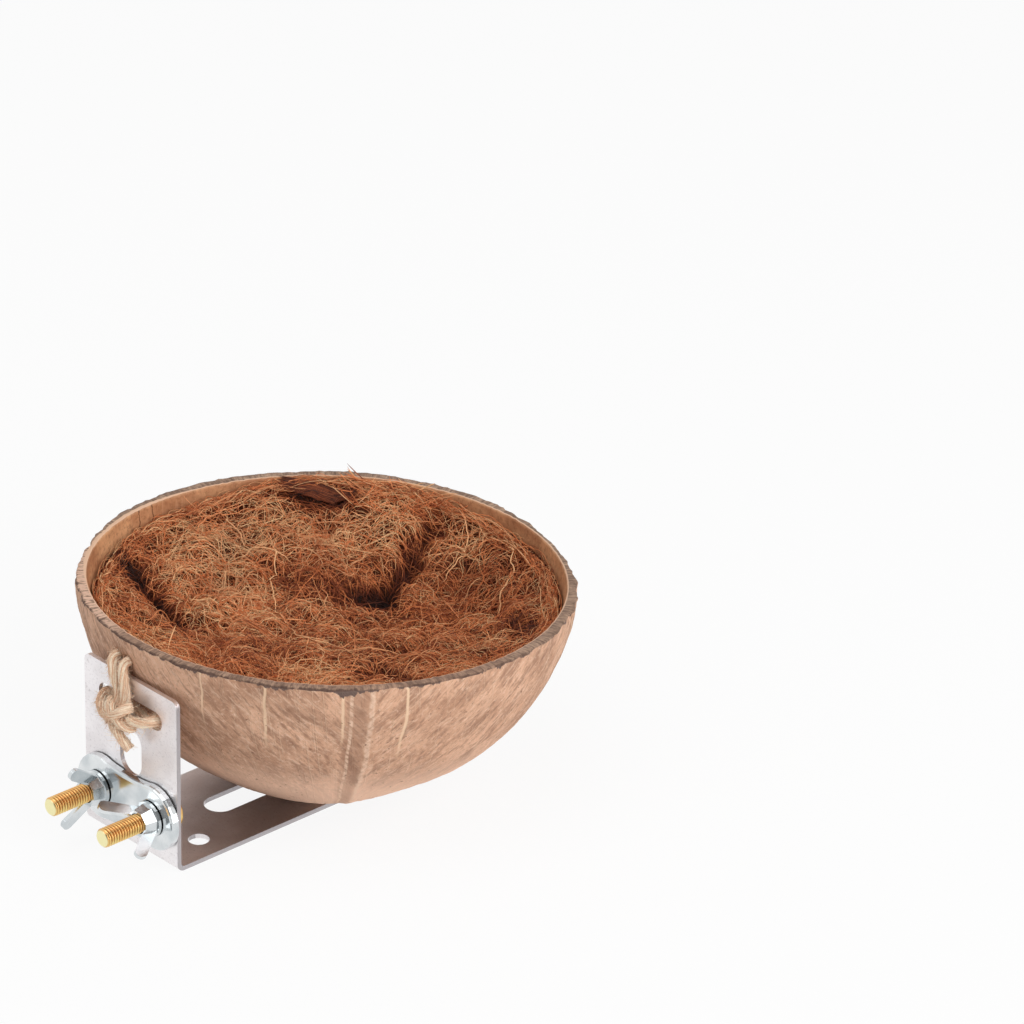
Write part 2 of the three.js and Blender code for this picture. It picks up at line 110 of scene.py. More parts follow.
# Coir liner
LINER_GAP = 0.5
LINER_RIM_DROP = 6.7
LINER_RIM_WAVE = 3
LINER_RIM_PEAK = radians(115)
LINER_CENTRE_DROP = 17
LINER_DISH_POWER = 2.6
LINER_FOLD_FADE = 8
LINER_CORD_RECESS = 4.8
LINER_CORD_RECESS_ANGLE = radians(16)
LINER_RADIUS = RIM_RADIUS - SHELL_WALL - LINER_GAP
LINER_DEPTH = SHELL_DEPTH - SHELL_WALL - LINER_GAP
LINER_SECTORS = 160
LINER_RINGS = 60
BACK_RISE = 2.4  # of the liner's edge where it is pushed up at the back
BACK_RISE_PLACE = radians(135)
BACK_RISE_SPREAD = radians(28)

# Swells and hollows of the liner along lines in plan from the shell's axis: from, to, width and rise in
# shares of the liner's radius, and how much painted shade the fibres on them take, painted light below 0
FOLDS = (
    ((-0.70, -0.14), (-0.50, 0.24), 0.26, 0.07, -0.5),  # swell on the left, with painted light on it
    ((-0.58, 0.78), (-0.36, 0.68), 0.13, 0.02, -0.55),  # swell above the cup, with painted light on it
    ((0.05, 0.42), (0.22, 0.62), 0.26, -0.08, 0.1),  # cup, with painted shade
    ((-0.42, 0.16), (-0.26, 0.28), 0.18, 0.0, 0.48),  # painted shade in the middle, with no rise
    ((0.50, 0.62), (0.74, 0.54), 0.07, -0.04, 0.6),  # hollow on the right
    ((0.41, -0.09), (0.52, -0.06), 0.06, -0.06, 1.0),  # pit in front
    ((-0.84, -0.42), (-0.36, -0.50), 0.05, -0.09, 1.5),  # groove inside the flap by the bracket
    ((-0.80, 0.50), (-0.63, 0.65), 0.045, -0.06, 1.1),  # gap under the rolled edge at the back
    ((-0.26, 0.81), (-0.13, 0.48), 0.055, -0.045, 1.0),  # crease under the lip
    ((-0.19, 0.34), (-0.13, 0.48), 0.04, -0.03, 0.8),  # end of the crease
)
DARK_FOLD = 0.5  # the fibres lie along folds with more painted shade than this
FOLD_PULL = 0.08  # how far from such a fold they do
FOLD_RAGGEDNESS = 0.3  # of the folds' edges
PATCH_SHADES = 0.12  # how much the shade changes from patch to patch
FAN_PLACE = (-0.74, 0.60)  # fibres spread like a fan from the gap at the back
FAN_REACH = 0.3
LIP = ((-0.16, 0.40), (-0.28, 0.84))  # folded edge above the cup, high on its left and low on its right
LIP_WIDTH = 0.14
LIP_RISE = 0.018
LIP_STEEPNESS = 0.06

# Coir fibres
TUFT_SIZE = 9  # fibres
TUFT_SPREAD = 3.5
TUFT_FAN = 1.0  # radians to each side
FIBRE_REACH = 0.99  # of the liner's radius
FIBRE_FOLD_BACK = 0.25  # of what would reach past it
FIBRE_TIP = 0.12  # of a fibre's thickness
FIBRE_WAVES = (0.6, 2.2)
FIBRE_END_DEPTH = 0.1  # how far the ends sink in
FIBRE_OUTWARD = (0.17, 0.31, 0.94)  # for fibres that don't lie on a surface
FIBRE_SIDES = 3
THICK_FIBRE_SIDES = 4
# Name, kind of coir, how many, points in each, length, bend, radius, height over the mat, sway, and how much
# of the folds' painted shade and painted light they take
TOP_FIBRES = (
    ("coir_felt_low", "dark", 2200, 8, (6, 15), 0.12, (0.09, 0.13), (0.0, 0.4), 0.3, 1.0),
    ("coir_felt_middle", "brown", 3000, 8, (6, 16), 0.12, (0.065, 0.105), (0.3, 1.0), 0.4, 1.0),
    ("coir_felt_high", "brown", 2600, 8, (6, 18), 0.12, (0.06, 0.095), (0.6, 1.5), 0.5, 1.0),
    ("coir_fine", "brown", 4000, 6, (4, 10), 0.15, (0.045, 0.06), (0.3, 1.4), 0.5, 1.0),
    ("coir_fuzz", "brown", 900, 8, (4, 12), 0.15, (0.045, 0.065), (1.0, 2.0), 0.7, 0.9),
    ("coir_curved", "brown", 1400, 16, (10, 30), 0.15, (0.065, 0.1), (0.9, 2.1), 0.7, 0.8),
    ("coir_long", "pale", 70, 30, (30, 80), 0.06, (0.1, 0.14), (1.2, 2.4), 0.8, 0.5),
)
UNDER_FIBRES = (
    ("coir_under_low", "dark", 2400, 8, (8, 24), 0.12, (0.1, 0.15), (0.0, 0.1), 0.1, 0.0),
    ("coir_under", "brown", 2600, 10, (8, 30), 0.1, (0.08, 0.13), (0.0, 0.2), 0.1, 0.0),
)
FRINGE_SWAY = 0.6  # of the fibres along the liner's edge
FRINGE_RISE = 0.8
FRINGE_LAG = 3  # points between sway and rise
FRINGE_GAP = 0.1  # from the wall
ROLL = ((-0.87, 0.48), (-0.60, 0.715))  # the flat roll of dark coir at the back, in plan
ROLL_HALF_WIDTH = 1.8
ROLL_NARROWING = 0.3  # towards its ends
ROLL_BASE = 0.8  # over the mat
ROLL_RISE = 1.2
ROLL_ROUNDNESS = 0.9
ROLL_DARKNESS = 0.5
LONG_STRANDS = (  # single strands on top, as places in plan
    ((-0.60, 0.25), (-0.49, 0.12), (-0.33, 0.0), (-0.17, -0.08), (0.0, -0.12), (0.16, -0.09)),
    ((-0.88, 0.18), (-0.62, 0.11), (-0.45, 0.20)),
    ((-0.21, 0.96), (-0.10, 0.91), (-0.03, 0.79), (-0.02, 0.66)),
    ((0.11, 0.96), (0.25, 0.86), (0.33, 0.73), (0.43, 0.60)),
)
STRAND_LIFT = 1.8
STRAND_SWAY = 0.4
STRAND_WAVES = 9  # radians along a strand
STRAND_DARKNESS = -0.2
STRAND_SIDES = 5
STRAY_TURNS = (0.5, 2.2)  # radians between straight out and where a loose fibre goes
STRAY_LENGTHS = (4, 11)
STRAY_CURL = 0.6
STRAY_BEND = 0.03
STRAY_RISE = 4  # most above the rim
STRAY_GAP = 1.2  # from the wall
BACK_STRAYS = (radians(104), radians(132))  # where loose fibres stand over the rim

# Bracket and bolts
UPRIGHT_FACE = -13
SHEET = 1.2
UPRIGHT_HEIGHT = 47
TIE_SLOT_HEIGHT = 39
TIE_SLOT_LENGTH = 24
SEAT_GAP = 0.3
EDGE_SEGMENTS = 3
EDGE_ANGLE = radians(32)  # sharper edges than this are rounded
BOLT_PLACES = {"left": -10, "right": 10}
BOLT_SEAT = UPRIGHT_FACE + SHEET + SEAT_GAP
BOLT_HEIGHT = 13
BOLT_RADIUS = 2.45
BOLT_LENGTH = 19
BOLT_HEAD_FLATS = 8
BOLT_HEAD_THICKNESS = 3.5
BOLT_CHAMFER = 0.5
HEAD_CHAMFER = 0.5
BOLT_SECTORS = 40
THREAD_PITCH = 0.8
THREAD_DEPTH = 0.42
THREAD_ROWS = 8  # of points in a turn
THREAD_FLANK = 2.7  # steepness
THREAD_START = (0.4, 0.8)  # distance from the head, and length of the run-in
THREAD_RUN_OUT = 0.9

# Jute cord
CORD_DIAMETER = 2.6
CORD_RADIUS = CORD_DIAMETER / 2
CORD_OUTWARD = (0.3, 0.5, 0.8)  # across the start of every route
CORD_FRONT = UPRIGHT_FACE - SEAT_GAP - CORD_RADIUS
CORD_BEHIND = BOLT_SEAT + CORD_RADIUS
CORD_INSIDE = WALL_FACE + SHELL_WALL + CORD_DIAMETER
ARM_REACH = TIE_SLOT_LENGTH / 2 - CORD_DIAMETER
KNOT_OFFSET = 1.3  # of the knot from the bracket's middle
# Two turns of the knot and the cut tail, in cord diameters across, out and up from the knot's middle
KNOT_TURNS = (
    ((-2.0, 0.4, -1.3), (-1.5, 1.1, -1.0), (-0.3, 1.5, -0.1), (0.7, 1.1, 0.8), (1.0, 0.4, 0.9)),
    ((-1.8, 0.4, 0.7), (-1.2, 1.2, 0.4), (0.1, 1.4, -0.5), (1.1, 1.0, -1.0), (1.4, 0.4, -1.0)),
    ((-1.6, 0.6, -0.9), (-0.9, 1.1, -1.4), (0.1, 1.2, -2.2), (1.3, 0.9, -3.2)),
)
YARNS = {  # how many, least and greatest reach in shares of the cord's radius, thinnest and thickest radius
    "core": (7, 0.1, 0.55, 0.42, 0.5),
    "skin": (64, 0.72, 1.0, 0.13, 0.22),
}
YARN_TWIST = 24  # length of one turn
YARN_STEP = 0.8
YARN_SWAY = 0.08
YARN_WAVES = (0.4, 1.2)  # radians for each millimetre
YARN_TIP = 0.5
YARN_SIDES = 5
HAIRS_PER_STEP = 24
HAIR_POINTS = 6
HAIR_LENGTHS = (0.6, 2.5)
HAIR_LEAN = (0.2, 0.9)
HAIR_SPREAD = 0.25
HAIR_CURL = 0.5
HAIR_BEND = 0.12
HAIR_RADIUS = 0.04
HAIR_TIP = 0.35

TONE = "tone"  # the attribute that holds each fibre's own shade, less the folds' painted shade
FIBRE_MAP = "OFBake"  # the map that lays each fibre out as a strip


# Shader maths as expressions

def rgb(*levels):
    """A colour as it is seen on a screen, from 0 to 255, in the linear numbers that shaders take."""
    shares = [level / 255 for level in levels]
    linear = [c / 12.92 if c <= 0.04045 else ((c + 0.055) / 1.055) ** 2.4 for c in shares]
    return (*linear, 1)


class Value:
    """An output of a node, which Python's operators work on."""

    def __init__(self, nodes, socket):
        self.nodes = nodes
        self.socket = socket

    def maths(self, operation, first, second):
        return self.nodes.node("Math", {"operation": operation}, {0: first, 1: second})

    def __add__(self, other):
        return self.maths("ADD", self, other)

    __radd__ = __add__

    def __sub__(self, other):
        return self.maths("SUBTRACT", self, other)

    def __rsub__(self, other):
        return self.maths("SUBTRACT", other, self)

    def __mul__(self, other):
        return self.maths("MULTIPLY", self, other)

    __rmul__ = __mul__

    def __abs__(self):
        return self.maths("ABSOLUTE", self, 0)

    def most(self, other):
        return self.maths("MAXIMUM", self, other)

    def step(self, low, high):
        """0 below low, 1 above high, and smooth between. With low above high it falls."""
        sockets = {"Value": self, "From Min": low, "From Max": high}
        return self.nodes.node("MapRange", {"interpolation_type": "SMOOTHSTEP"}, sockets)


class Nodes:
    """The nodes of a material or of the world."""

    def __init__(self, tree):
        self.tree = tree

    def plug(self, socket, value):
        if isinstance(value, Value):
            self.tree.links.new(value.socket, socket)
        else:
            socket.default_value = value

    def node(self, kind, settings=None, sockets=None, output=0):
        made = self.tree.nodes.new("ShaderNode" + kind)
        for name, value in (settings or {}).items():
            setattr(made, name, value)
        for name, value in (sockets or {}).items():
            self.plug(made.inputs[name], value)
        return Value(self, made.outputs[output])

    def vectors(self, operation, first, second, output=0):
        return self.node("VectorMath", {"operation": operation}, {0: first, 1: second}, output)

    def scaled(self, vector, factor):
        return self.node("VectorMath", {"operation": "SCALE"}, {0: vector, "Scale": factor})

    def along(self, vector, direction):
        return self.vectors("DOT_PRODUCT", vector, direction, 1)

    def length(self, vector):
        return self.vectors("LENGTH", vector, (0, 0, 0), 1)

    def ray(self, kind):
        """1 for rays of one kind, and 0 for the others."""
        return self.node("LightPath", output=f"Is {kind} Ray")


class Paint(Nodes):
    """A procedural material. Its spot is a point of the surface in millimetres from an origin."""

    def __init__(self, name, origin=(0, 0, 0), **constants):
        self.material = bpy.data.materials.new(name)
        self.material.use_nodes = True
        super().__init__(self.material.node_tree)
        self.shader = self.tree.nodes["Principled BSDF"]
        self.set(**constants)
        metres = self.node("TexCoord", output="Object")
        self.spot = self.vectors("SUBTRACT", self.scaled(metres, 1 / MM), origin)

    def set(self, **sockets):
        for name, value in sockets.items():
            self.plug(self.shader.inputs[name.replace("_", " ").title().replace("Ior", "IOR")], value)

    def tone(self):
        """A number from 0 to 1 that each fibre has for itself, less the painted shade of a fold it lies in,
        and plus the painted light of a swell.
        """
        return self.node("Attribute", {"attribute_name": TONE}, output="Fac")

    def noise(self, scale, detail=3, roughness=0.55, distortion=0, at=None):
        sockets = {"Vector": at or self.spot, "Scale": scale, "Detail": detail}
        sockets |= {"Roughness": roughness, "Distortion": distortion}
        return self.node("TexNoise", None, sockets)

    def mix(self, factor, first, second):
        return self.node("Mix", {"data_type": "RGBA"}, {0: factor, 6: first, 7: second}, 2)

    def coats(self, colour, *coats):
        """A colour under coats, each given by how far it covers and its own colour."""
        for cover, coat in coats:
            colour = self.mix(cover, colour, coat)
        return colour

    def finish(self, colour, roughness, relief=None, depth=0, strength=0):
        """The material with a colour, a roughness and a relief of a depth in millimetres."""
        self.set(base_color=colour, roughness=roughness)
        if relief:
            sockets = {"Height": relief, "Distance": depth * MM, "Strength": strength}
            self.set(normal=self.node("Bump", None, sockets))
        return self.material


class ShellPaint(Paint):
    """A material of the shell, which knows directions round the shell's axis and depths below the rim."""

    def __init__(self, name, **constants):
        super().__init__(name, SHELL_SEAT, **constants)
        axis = (0, sin(SHELL_TILT), cos(SHELL_TILT))
        height = self.along(self.spot, axis)
        flat = self.vectors("SUBTRACT", self.spot, self.scaled(axis, height))
        self.around = self.vectors("NORMALIZE", flat, (0, 0, 0))
        self.radius = self.length(flat)
        self.below_rim = SHELL_DEPTH - height

    def facing(self, azimuth):
        """1 in a direction round the axis, 0 a quarter turn from it and -1 opposite."""
        return self.along(self.around, (cos(azimuth), sin(azimuth), 0))

    def fibre_noise(self, across, along, slant=0.0, detail=3, roughness=0.55):
        """Noise that runs as fibres down the shell, and sideways by slant for each millimetre down."""
        spun = self.scaled(self.around, RIM_RADIUS * across)
        sideways = self.vectors("CROSS_PRODUCT", (0, 0, 1), self.around)
        shift = self.scaled(sideways, self.below_rim * (-slant * across))
        down = self.node("CombineXYZ", None, {2: along * self.below_rim})
        field = self.vectors("ADD", self.vectors("ADD", spun, shift), down)
        return self.noise(1, detail, roughness, at=field)

    def slanted_strokes(self, across, along, slant):
        """Noise whose strokes lean towards the front ridge as they go down, on both of its sides."""
        left = self.fibre_noise(across, along, slant, 3, 0.62)
        right = self.fibre_noise(across, along, -slant, 3, 0.62)
        return left + (right - left) * self.facing(SUTURES[0] + pi / 2).step(-0.06, 0.06)

    def line_down(self, azimuth, width, wander):
        """A mask for one line down the shell at an azimuth, width millimetres wide."""
        side = self.facing(azimuth + pi / 2) * RIM_RADIUS
        return abs(side + wander).step(width, width * 0.3) * self.facing(azimuth).step(0.5, 0.6)


# Finishes

def satin_steel():
    paint = Paint("satin_steel", metallic=1.0)
    grain = paint.noise(1.2, 5, 0.7, at=paint.vectors("MULTIPLY", paint.spot, (0.8, 1.4, 1.4)))
    cloud = paint.noise(0.09)
    pits = paint.noise(2.2, 2).step(0.62, 0.76)
    normal = paint.node("TexCoord", output="Normal")
    sheared = abs(paint.along(normal, (1, 0, 0))).step(0.8, 0.95)
    colour = paint.coats(
        paint.mix(cloud.step(0.35, 0.7), rgb(232, 227, 228), rgb(246, 242, 243)),
        (grain.step(0.52, 0.7) * 0.4, rgb(196, 190, 192)),
        (pits * 0.4, rgb(150, 145, 147)),
        (sheared * 0.8, rgb(158, 153, 155)),
    )
    roughness = 0.26 + 0.16 * grain + 0.1 * cloud + 0.15 * sheared
    return paint.finish(colour, roughness, grain + pits, 0.07, 0.7)


def bright_zinc():
    paint = Paint("bright_zinc", metallic=1.0)
    cloud = paint.noise(0.12)
    spangle = paint.noise(1.6, 2)
    colour = paint.mix(cloud.step(0.3, 0.7), rgb(200, 206, 209), rgb(228, 231, 232))
    return paint.finish(colour, 0.1 + 0.12 * cloud, spangle, 0.03, 0.12)


def yellow_zinc(across):
    paint = Paint("yellow_zinc", (across, BOLT_SEAT - BOLT_LENGTH, BOLT_HEIGHT), metallic=1.0)
    from_axis = paint.length(paint.vectors("MULTIPLY", paint.spot, (1, 0, 1)))
    from_end = paint.along(paint.spot, (0, 1, 0))
    above_axis = paint.along(paint.spot, (0, 0, 1))
    # painted shade in the roots of the thread, away from its end
    groove = from_axis.step(BOLT_RADIUS - 0.1, BOLT_RADIUS - THREAD_DEPTH) * from_end.step(0.05, 0.6)
    cloud = paint.noise(0.5)
    colour = paint.coats(
        paint.mix(cloud.step(0.35, 0.68), rgb(240, 214, 138), rgb(232, 184, 112)),
        # painted reflection: the bolt's upper half is painted redder
        (above_axis.step(-1.0, 2.0) * 0.45, rgb(226, 156, 98)),
        (from_end.step(0.3, 0.05), rgb(244, 236, 184)),
        (groove, rgb(128, 66, 32)),
    )
    return paint.finish(colour, 0.22 + 0.2 * cloud)


def coconut_outside():
    paint = ShellPaint("coconut_outside", specular_ior_level=0.3)
    below_rim = paint.below_rim
    blotches = paint.slanted_strokes(0.2, 0.1, 0.8)
    strokes = paint.slanted_strokes(0.8, 0.3, 1.2)
    dark_strokes = paint.slanted_strokes(0.6, 0.26, 0.8)
    threads = paint.fibre_noise(2.6, 0.06, 0.1, 2, 0.5)
    fine = paint.slanted_strokes(2.6, 0.3, 0.8)
    grain = paint.noise(1.0, 4, 0.72)
    # painted shade: the skin low down on the bracket's side is painted darker
    bracket_side_shade = paint.facing(-pi / 2).step(0.5, 0.95) * below_rim.step(32, 44)
    colour = paint.coats(
        paint.mix(paint.noise(0.06, 4, 0.62).step(0.34, 0.66), rgb(186, 141, 113), rgb(222, 176, 146)),
        (blotches.step(0.46, 0.66) * 0.75, rgb(156, 115, 91)),
        (strokes.step(0.48, 0.7) * 0.6, rgb(232, 196, 170)),
        (dark_strokes.step(0.5, 0.7) * 0.65, rgb(138, 98, 76)),
        (threads.step(0.6, 0.7) * 0.4, rgb(234, 198, 168)),
        (fine.step(0.5, 0.75) * 0.55, rgb(140, 100, 76)),
        (grain.step(0.52, 0.7) * 0.45, rgb(146, 106, 82)),
        (grain.step(0.46, 0.3) * 0.45, rgb(238, 206, 182)),
        # painted light: paler towards the bottom, where the floor lights the skin
        (below_rim.step(22, 44) * 0.8, rgb(255, 215, 188)),
        (bracket_side_shade * 0.8, rgb(122, 86, 66)),
    )
    wander = (paint.noise(0.12, 2) - 0.5) * 3
    for azimuth, width, reach in SKIN_LINES:
        line = paint.line_down(radians(azimuth), width, wander * 0.6)
        colour = paint.mix(line * below_rim.step(reach, reach * 0.5) * 0.8, colour, rgb(240, 206, 172))
    for azimuth in SUTURES:
        band = paint.line_down(azimuth + SUTURE_BAND, 4.2, wander)
        colour = paint.mix(band * (0.15 + 0.6 * blotches), colour, rgb(148, 110, 88))
        for aside, width in SUTURE_LINES:
            ridge = paint.line_down(azimuth + aside / RIM_RADIUS, width, wander * 0.5)
            colour = paint.mix(ridge * strokes.step(0.3, 0.6) * 0.8, colour, rgb(234, 200, 174))
    specks = paint.noise(0.9, 2).step(0.66, 0.74) * below_rim.step(4, 9)
    widest = paint.line_down(TORN_SKIN, 9, wander)
    ragged = paint.fibre_noise(0.3, 0.05, 0, 4, 0.65)
    torn = (ragged * 6 - 2.8 + 1.3 * widest - below_rim).step(-0.1, 0.2)
    bare = paint.mix(fine, rgb(84, 66, 60), rgb(124, 102, 92))
    colour = paint.coats(colour, (specks * 0.7, rgb(120, 80, 56)), (torn, bare))
    relief = strokes + 0.7 * fine + 0.8 * threads.step(0.55, 0.75) - 0.8 * torn
    return paint.finish(colour, 0.62 + 0.2 * strokes, relief, 0.3, 0.6)


def coconut_cut():
    paint = ShellPaint("coconut_cut", specular_ior_level=0.3)
    spun = paint.scaled(paint.around, RIM_RADIUS * 1.3)
    lift = paint.node("CombineXYZ", None, {2: paint.radius * 0.3})
    saw = paint.noise(1, 4, 0.65, at=paint.vectors("ADD", spun, lift))
    marks = saw.step(0.3, 0.7)
    patches = paint.noise(0.16, 4, 0.65)
    chipped = paint.noise(0.35, 4, 0.7)
    front = paint.facing(DARK_RIM).step(0.1, 0.6)
    pale = paint.facing(PALE_RIM).step(0.86, 0.97)
    worn = paint.facing(WORN_EDGE).step(0.84, 0.97)
    outer = (paint.radius - RIM_RADIUS + 1.9 - 2.6 * chipped).step(-0.3, 0.3)
    # a thin painted highlight along the inner edge all round, widened by wear where worn is high
    inner = RIM_RADIUS - SHELL_WALL + 0.5 + worn * (0.1 + 1.2 * patches)
    colour = paint.coats(
        paint.mix(marks, rgb(112, 88, 74), rgb(192, 160, 136)),
        (patches.step(0.42, 0.6) * 0.6, rgb(116, 92, 78)),
        (front * 0.5, paint.mix(marks, rgb(112, 84, 70), rgb(176, 138, 114))),
        (pale * saw.step(0.34, 0.54) * 0.75, rgb(240, 198, 172)),
        (outer * (0.3 + 0.5 * front), rgb(72, 52, 46)),
        ((paint.radius - inner).step(0.12, -0.12), rgb(226, 186, 156)),
    )
    return paint.finish(colour, 0.7 + 0.15 * saw, saw, 0.2, 0.6)


def coconut_inside():
    paint = ShellPaint("coconut_inside", specular_ior_level=0.4)
    streaks = paint.fibre_noise(1.1, 0.12, 0.05)
    veins = abs(paint.fibre_noise(0.12, 0.02, 0, 4) - 0.5).step(0.012, 0.003)
    wander = (paint.noise(0.3) - 0.5) * 4
    cracks = veins * 0.15
    for azimuth in CRACKS:
        cracks = cracks.most(paint.line_down(azimuth, 0.45, wander))
    colour = paint.coats(
        paint.mix(paint.noise(0.09, 4, 0.6).step(0.3, 0.7), rgb(176, 120, 82), rgb(222, 168, 122)),
        (streaks.step(0.55, 0.75) * 0.2, rgb(226, 178, 136)),
        (paint.noise(0.8, 4, 0.7).step(0.46, 0.68) * 0.6, rgb(146, 94, 62)),
        (cracks * 0.7, rgb(84, 52, 32)),
    )
    return paint.finish(colour, 0.5 + 0.2 * streaks, streaks - cracks, 0.15, 0.4)


def coir_mat():
    paint = Paint("coir_mat", specular_ior_level=0.2)
    wave = {"Vector": paint.spot, "Scale": 0.9, "Distortion": 14, "Detail": 4}
    hairs = paint.node("TexWave", None, wave)
    tangle = paint.noise(1.4, 5, 0.7, 2.5)
    light = (hairs * 0.5 + tangle * 0.6).step(0.3, 0.8)
    swirl = paint.noise(0.12, 2).step(0.45, 0.7)
    # painted shade: the mat under the fibres is nearly black, as the shade in the gaps between them
    colour = paint.coats(
        paint.mix(light, rgb(48, 20, 10), rgb(116, 62, 34)),
        (swirl * 0.5, rgb(84, 38, 20)),
    )
    return paint.finish(colour, 0.85 + 0.1 * tangle, hairs + tangle, 0.5, 0.8)


def coir_fibre(name, dark, middle, light):
    paint = Paint(name, specular_ior_level=0.35)
    near = paint.noise(0.5, 3, 0.7)
    tone = paint.tone()
    shade = 0.75 * tone + 0.35 * near - 0.05
    colour = paint.coats(
        paint.mix(shade.step(0.1, 0.5), dark, middle),
        (shade.step(0.5, 0.9), light),
        (paint.noise(0.05, 2).step(0.5, 0.7) * 0.3, rgb(176, 88, 48)),
        # painted shade: nearly black where a fold's painted shade takes the tone below 0
        (tone.step(0.1, -0.7), rgb(38, 15, 8)),
    )
    return paint.finish(colour, 0.5 + 0.25 * near)


def jute_yarn():
    paint = Paint("jute_yarn", specular_ior_level=0.25)
    fine = paint.noise(3.0, 3, 0.65)
    shade = 0.6 * paint.tone() + 0.4 * paint.noise(0.35)
    colour = paint.coats(
        paint.mix(shade.step(0.2, 0.75), rgb(230, 187, 154), rgb(255, 238, 214)),
        (fine.step(0.55, 0.78) * 0.5, rgb(180, 132, 102)),
    )
    return paint.finish(colour, 0.8 + 0.1 * fine, fine, 0.1, 0.5)


# Meshes

def placed(name, data):
    """A new object in the scene."""
    made = bpy.data.objects.new(name, data)
    bpy.context.scene.collection.objects.link(made)
    return made


def mesh_piece(name, points, faces, materials, face_materials=None):
    """A smooth mesh object from points in millimetres and faces."""
    mesh = bpy.data.meshes.new(name)
    mesh.from_pydata(np.asarray(points) * MM, [], faces, shade_flat=False)
    for material in materials:
        mesh.materials.append(material)
    if face_materials is not None:
        mesh.polygons.foreach_set("material_index", np.asarray(face_materials, np.int32))
    mesh.validate()
    return placed(name, mesh)


def grid_faces(rows, columns):
    """Quads between the rows of a grid of points, whose columns close to a ring."""
    row, column = np.meshgrid(np.arange(rows - 1), np.arange(columns), indexing="ij")
    here = row * columns + column
    beside = row * columns + (column + 1) % columns
    return np.stack([here, beside, beside + columns, here + columns], -1).reshape(-1, 4)


def ringed_piece(name, points, materials, face_materials=None, end_materials=(0, 0)):
    """A closed mesh object from rows of points, each of them a ring. The first and last row are filled."""
    rows, columns, _ = points.shape
    piece = mesh_piece(name, points.reshape(-1, 3), grid_faces(rows, columns), materials, face_materials)
    work = bmesh.new()
    work.from_mesh(piece.data)
    work.verts.ensure_lookup_table()
    for start, material in zip((0, (rows - 1) * columns), end_materials):
        face = work.faces.new([work.verts[start + i] for i in range(columns)])
        face.material_index = material
    bmesh.ops.recalc_face_normals(work, faces=work.faces)
    work.to_mesh(piece.data)
    work.free()
    return piece


def ring_turns(count):
    return np.arange(count) * tau / count


def unit(vectors):
    return vectors / np.maximum(np.linalg.norm(vectors, axis=-1, keepdims=True), 1e-9)


def polar(radius, angle, height):
    """Points at a radius and an angle round the Z axis."""
    return np.stack([radius * np.cos(angle), radius * np.sin(angle), height], -1)


def nearness(angle, direction, spread, power=2):
    """1 in a direction round the Z axis, falling to 0 beyond a spread from it."""
    away = np.angle(np.exp(1j * (angle - direction)))
    return np.exp(-(away / spread) ** power)


def waves(x, y, lengths, heights, seed):
    """Smooth irregular height over a plane: waves of several lengths in many directions."""
    draw = np.random.default_rng(seed)
    total = np.zeros(np.broadcast(x, y).shape)
    for length, height in zip(lengths, heights):
        for _ in range(6):
            angle, phase = draw.uniform(0, tau, 2)
            stretch = draw.uniform(0.7, 1.4)
            travel = (x * cos(angle) + y * sin(angle)) * stretch / length
            total = total + height / 6 ** 0.5 * np.sin(tau * travel + phase)
    return total


def smooth_path(points, spacing):
    """A smooth line through points, with points about spacing apart, and the length up to each."""
    points = np.asarray(points, float)
    padded = np.concatenate([[2 * points[0] - points[1]], points, [2 * points[-1] - points[-2]]])
    t = np.linspace(0, 1, 24, endpoint=False)[:, None]
    fine = []
    for before, start, end, after in zip(padded, padded[1:], padded[2:], padded[3:]):
        bend = 2 * before - 5 * start + 4 * end - after
        twist = 3 * start - before - 3 * end + after
        fine.append(0.5 * (2 * start + (end - before) * t + bend * t ** 2 + twist * t ** 3))
    fine = np.concatenate([*fine, points[-1:]])
    travelled = np.concatenate([[0], np.cumsum(np.linalg.norm(np.diff(fine, axis=0), axis=1))])
    steps = max(int(travelled[-1] / spacing), 6)
    at = np.linspace(0, travelled[-1], steps)
    return np.stack([np.interp(at, travelled, fine[:, i]) for i in range(3)], -1), at


def from_shell(points):
    """Points given from the foot of the shell's own axis, in the row frame."""
    x, y, z = np.moveaxis(np.asarray(points, float), -1, 0)
    sine, cosine = sin(SHELL_TILT), cos(SHELL_TILT)
    return np.stack([x, y * cosine + z * sine, z * cosine - y * sine], -1) + np.array(SHELL_SEAT)


# Fibres and yarns as thin tubes

def tubes(paths, radii, sides, outward):
    """Points and quads of tubes along paths, as tubes by points by 3, with a radius at each point."""
    count, steps, _ = paths.shape
    forward = unit(np.gradient(paths, axis=1))
    side = unit(np.cross(forward, outward))
    top = np.cross(side, forward)
    turn = ring_turns(sides)
    ring = np.cos(turn)[:, None] * side[:, :, None, :] + np.sin(turn)[:, None] * top[:, :, None, :]
    points = paths[:, :, None, :] + radii[:, :, None, None] * ring
    faces = grid_faces(steps, sides) + (np.arange(count) * steps * sides)[:, None, None]
    return points.reshape(-1, 3), faces.reshape(-1, 4)


def strip_map(count, steps, sides):
    """A place on a square map for each corner of the quads of tubes, with a strip for each tube."""
    columns = max(int((count / 6) ** 0.5), 1)
    rows = -(-count // columns)
    tube, step, side = np.meshgrid(np.arange(count), np.arange(steps - 1), np.arange(sides), indexing="ij")
    along = (step[..., None] + np.array([0, 0, 1, 1])) / (steps - 1)
    across = (side[..., None] + np.array([0, 1, 1, 0])) / sides
    u = (tube[..., None] % columns + 0.05 + 0.9 * along) / columns
    v = (tube[..., None] // columns + 0.1 + 0.8 * across) / rows
    return np.stack([u, v], -1).reshape(-1, 2)


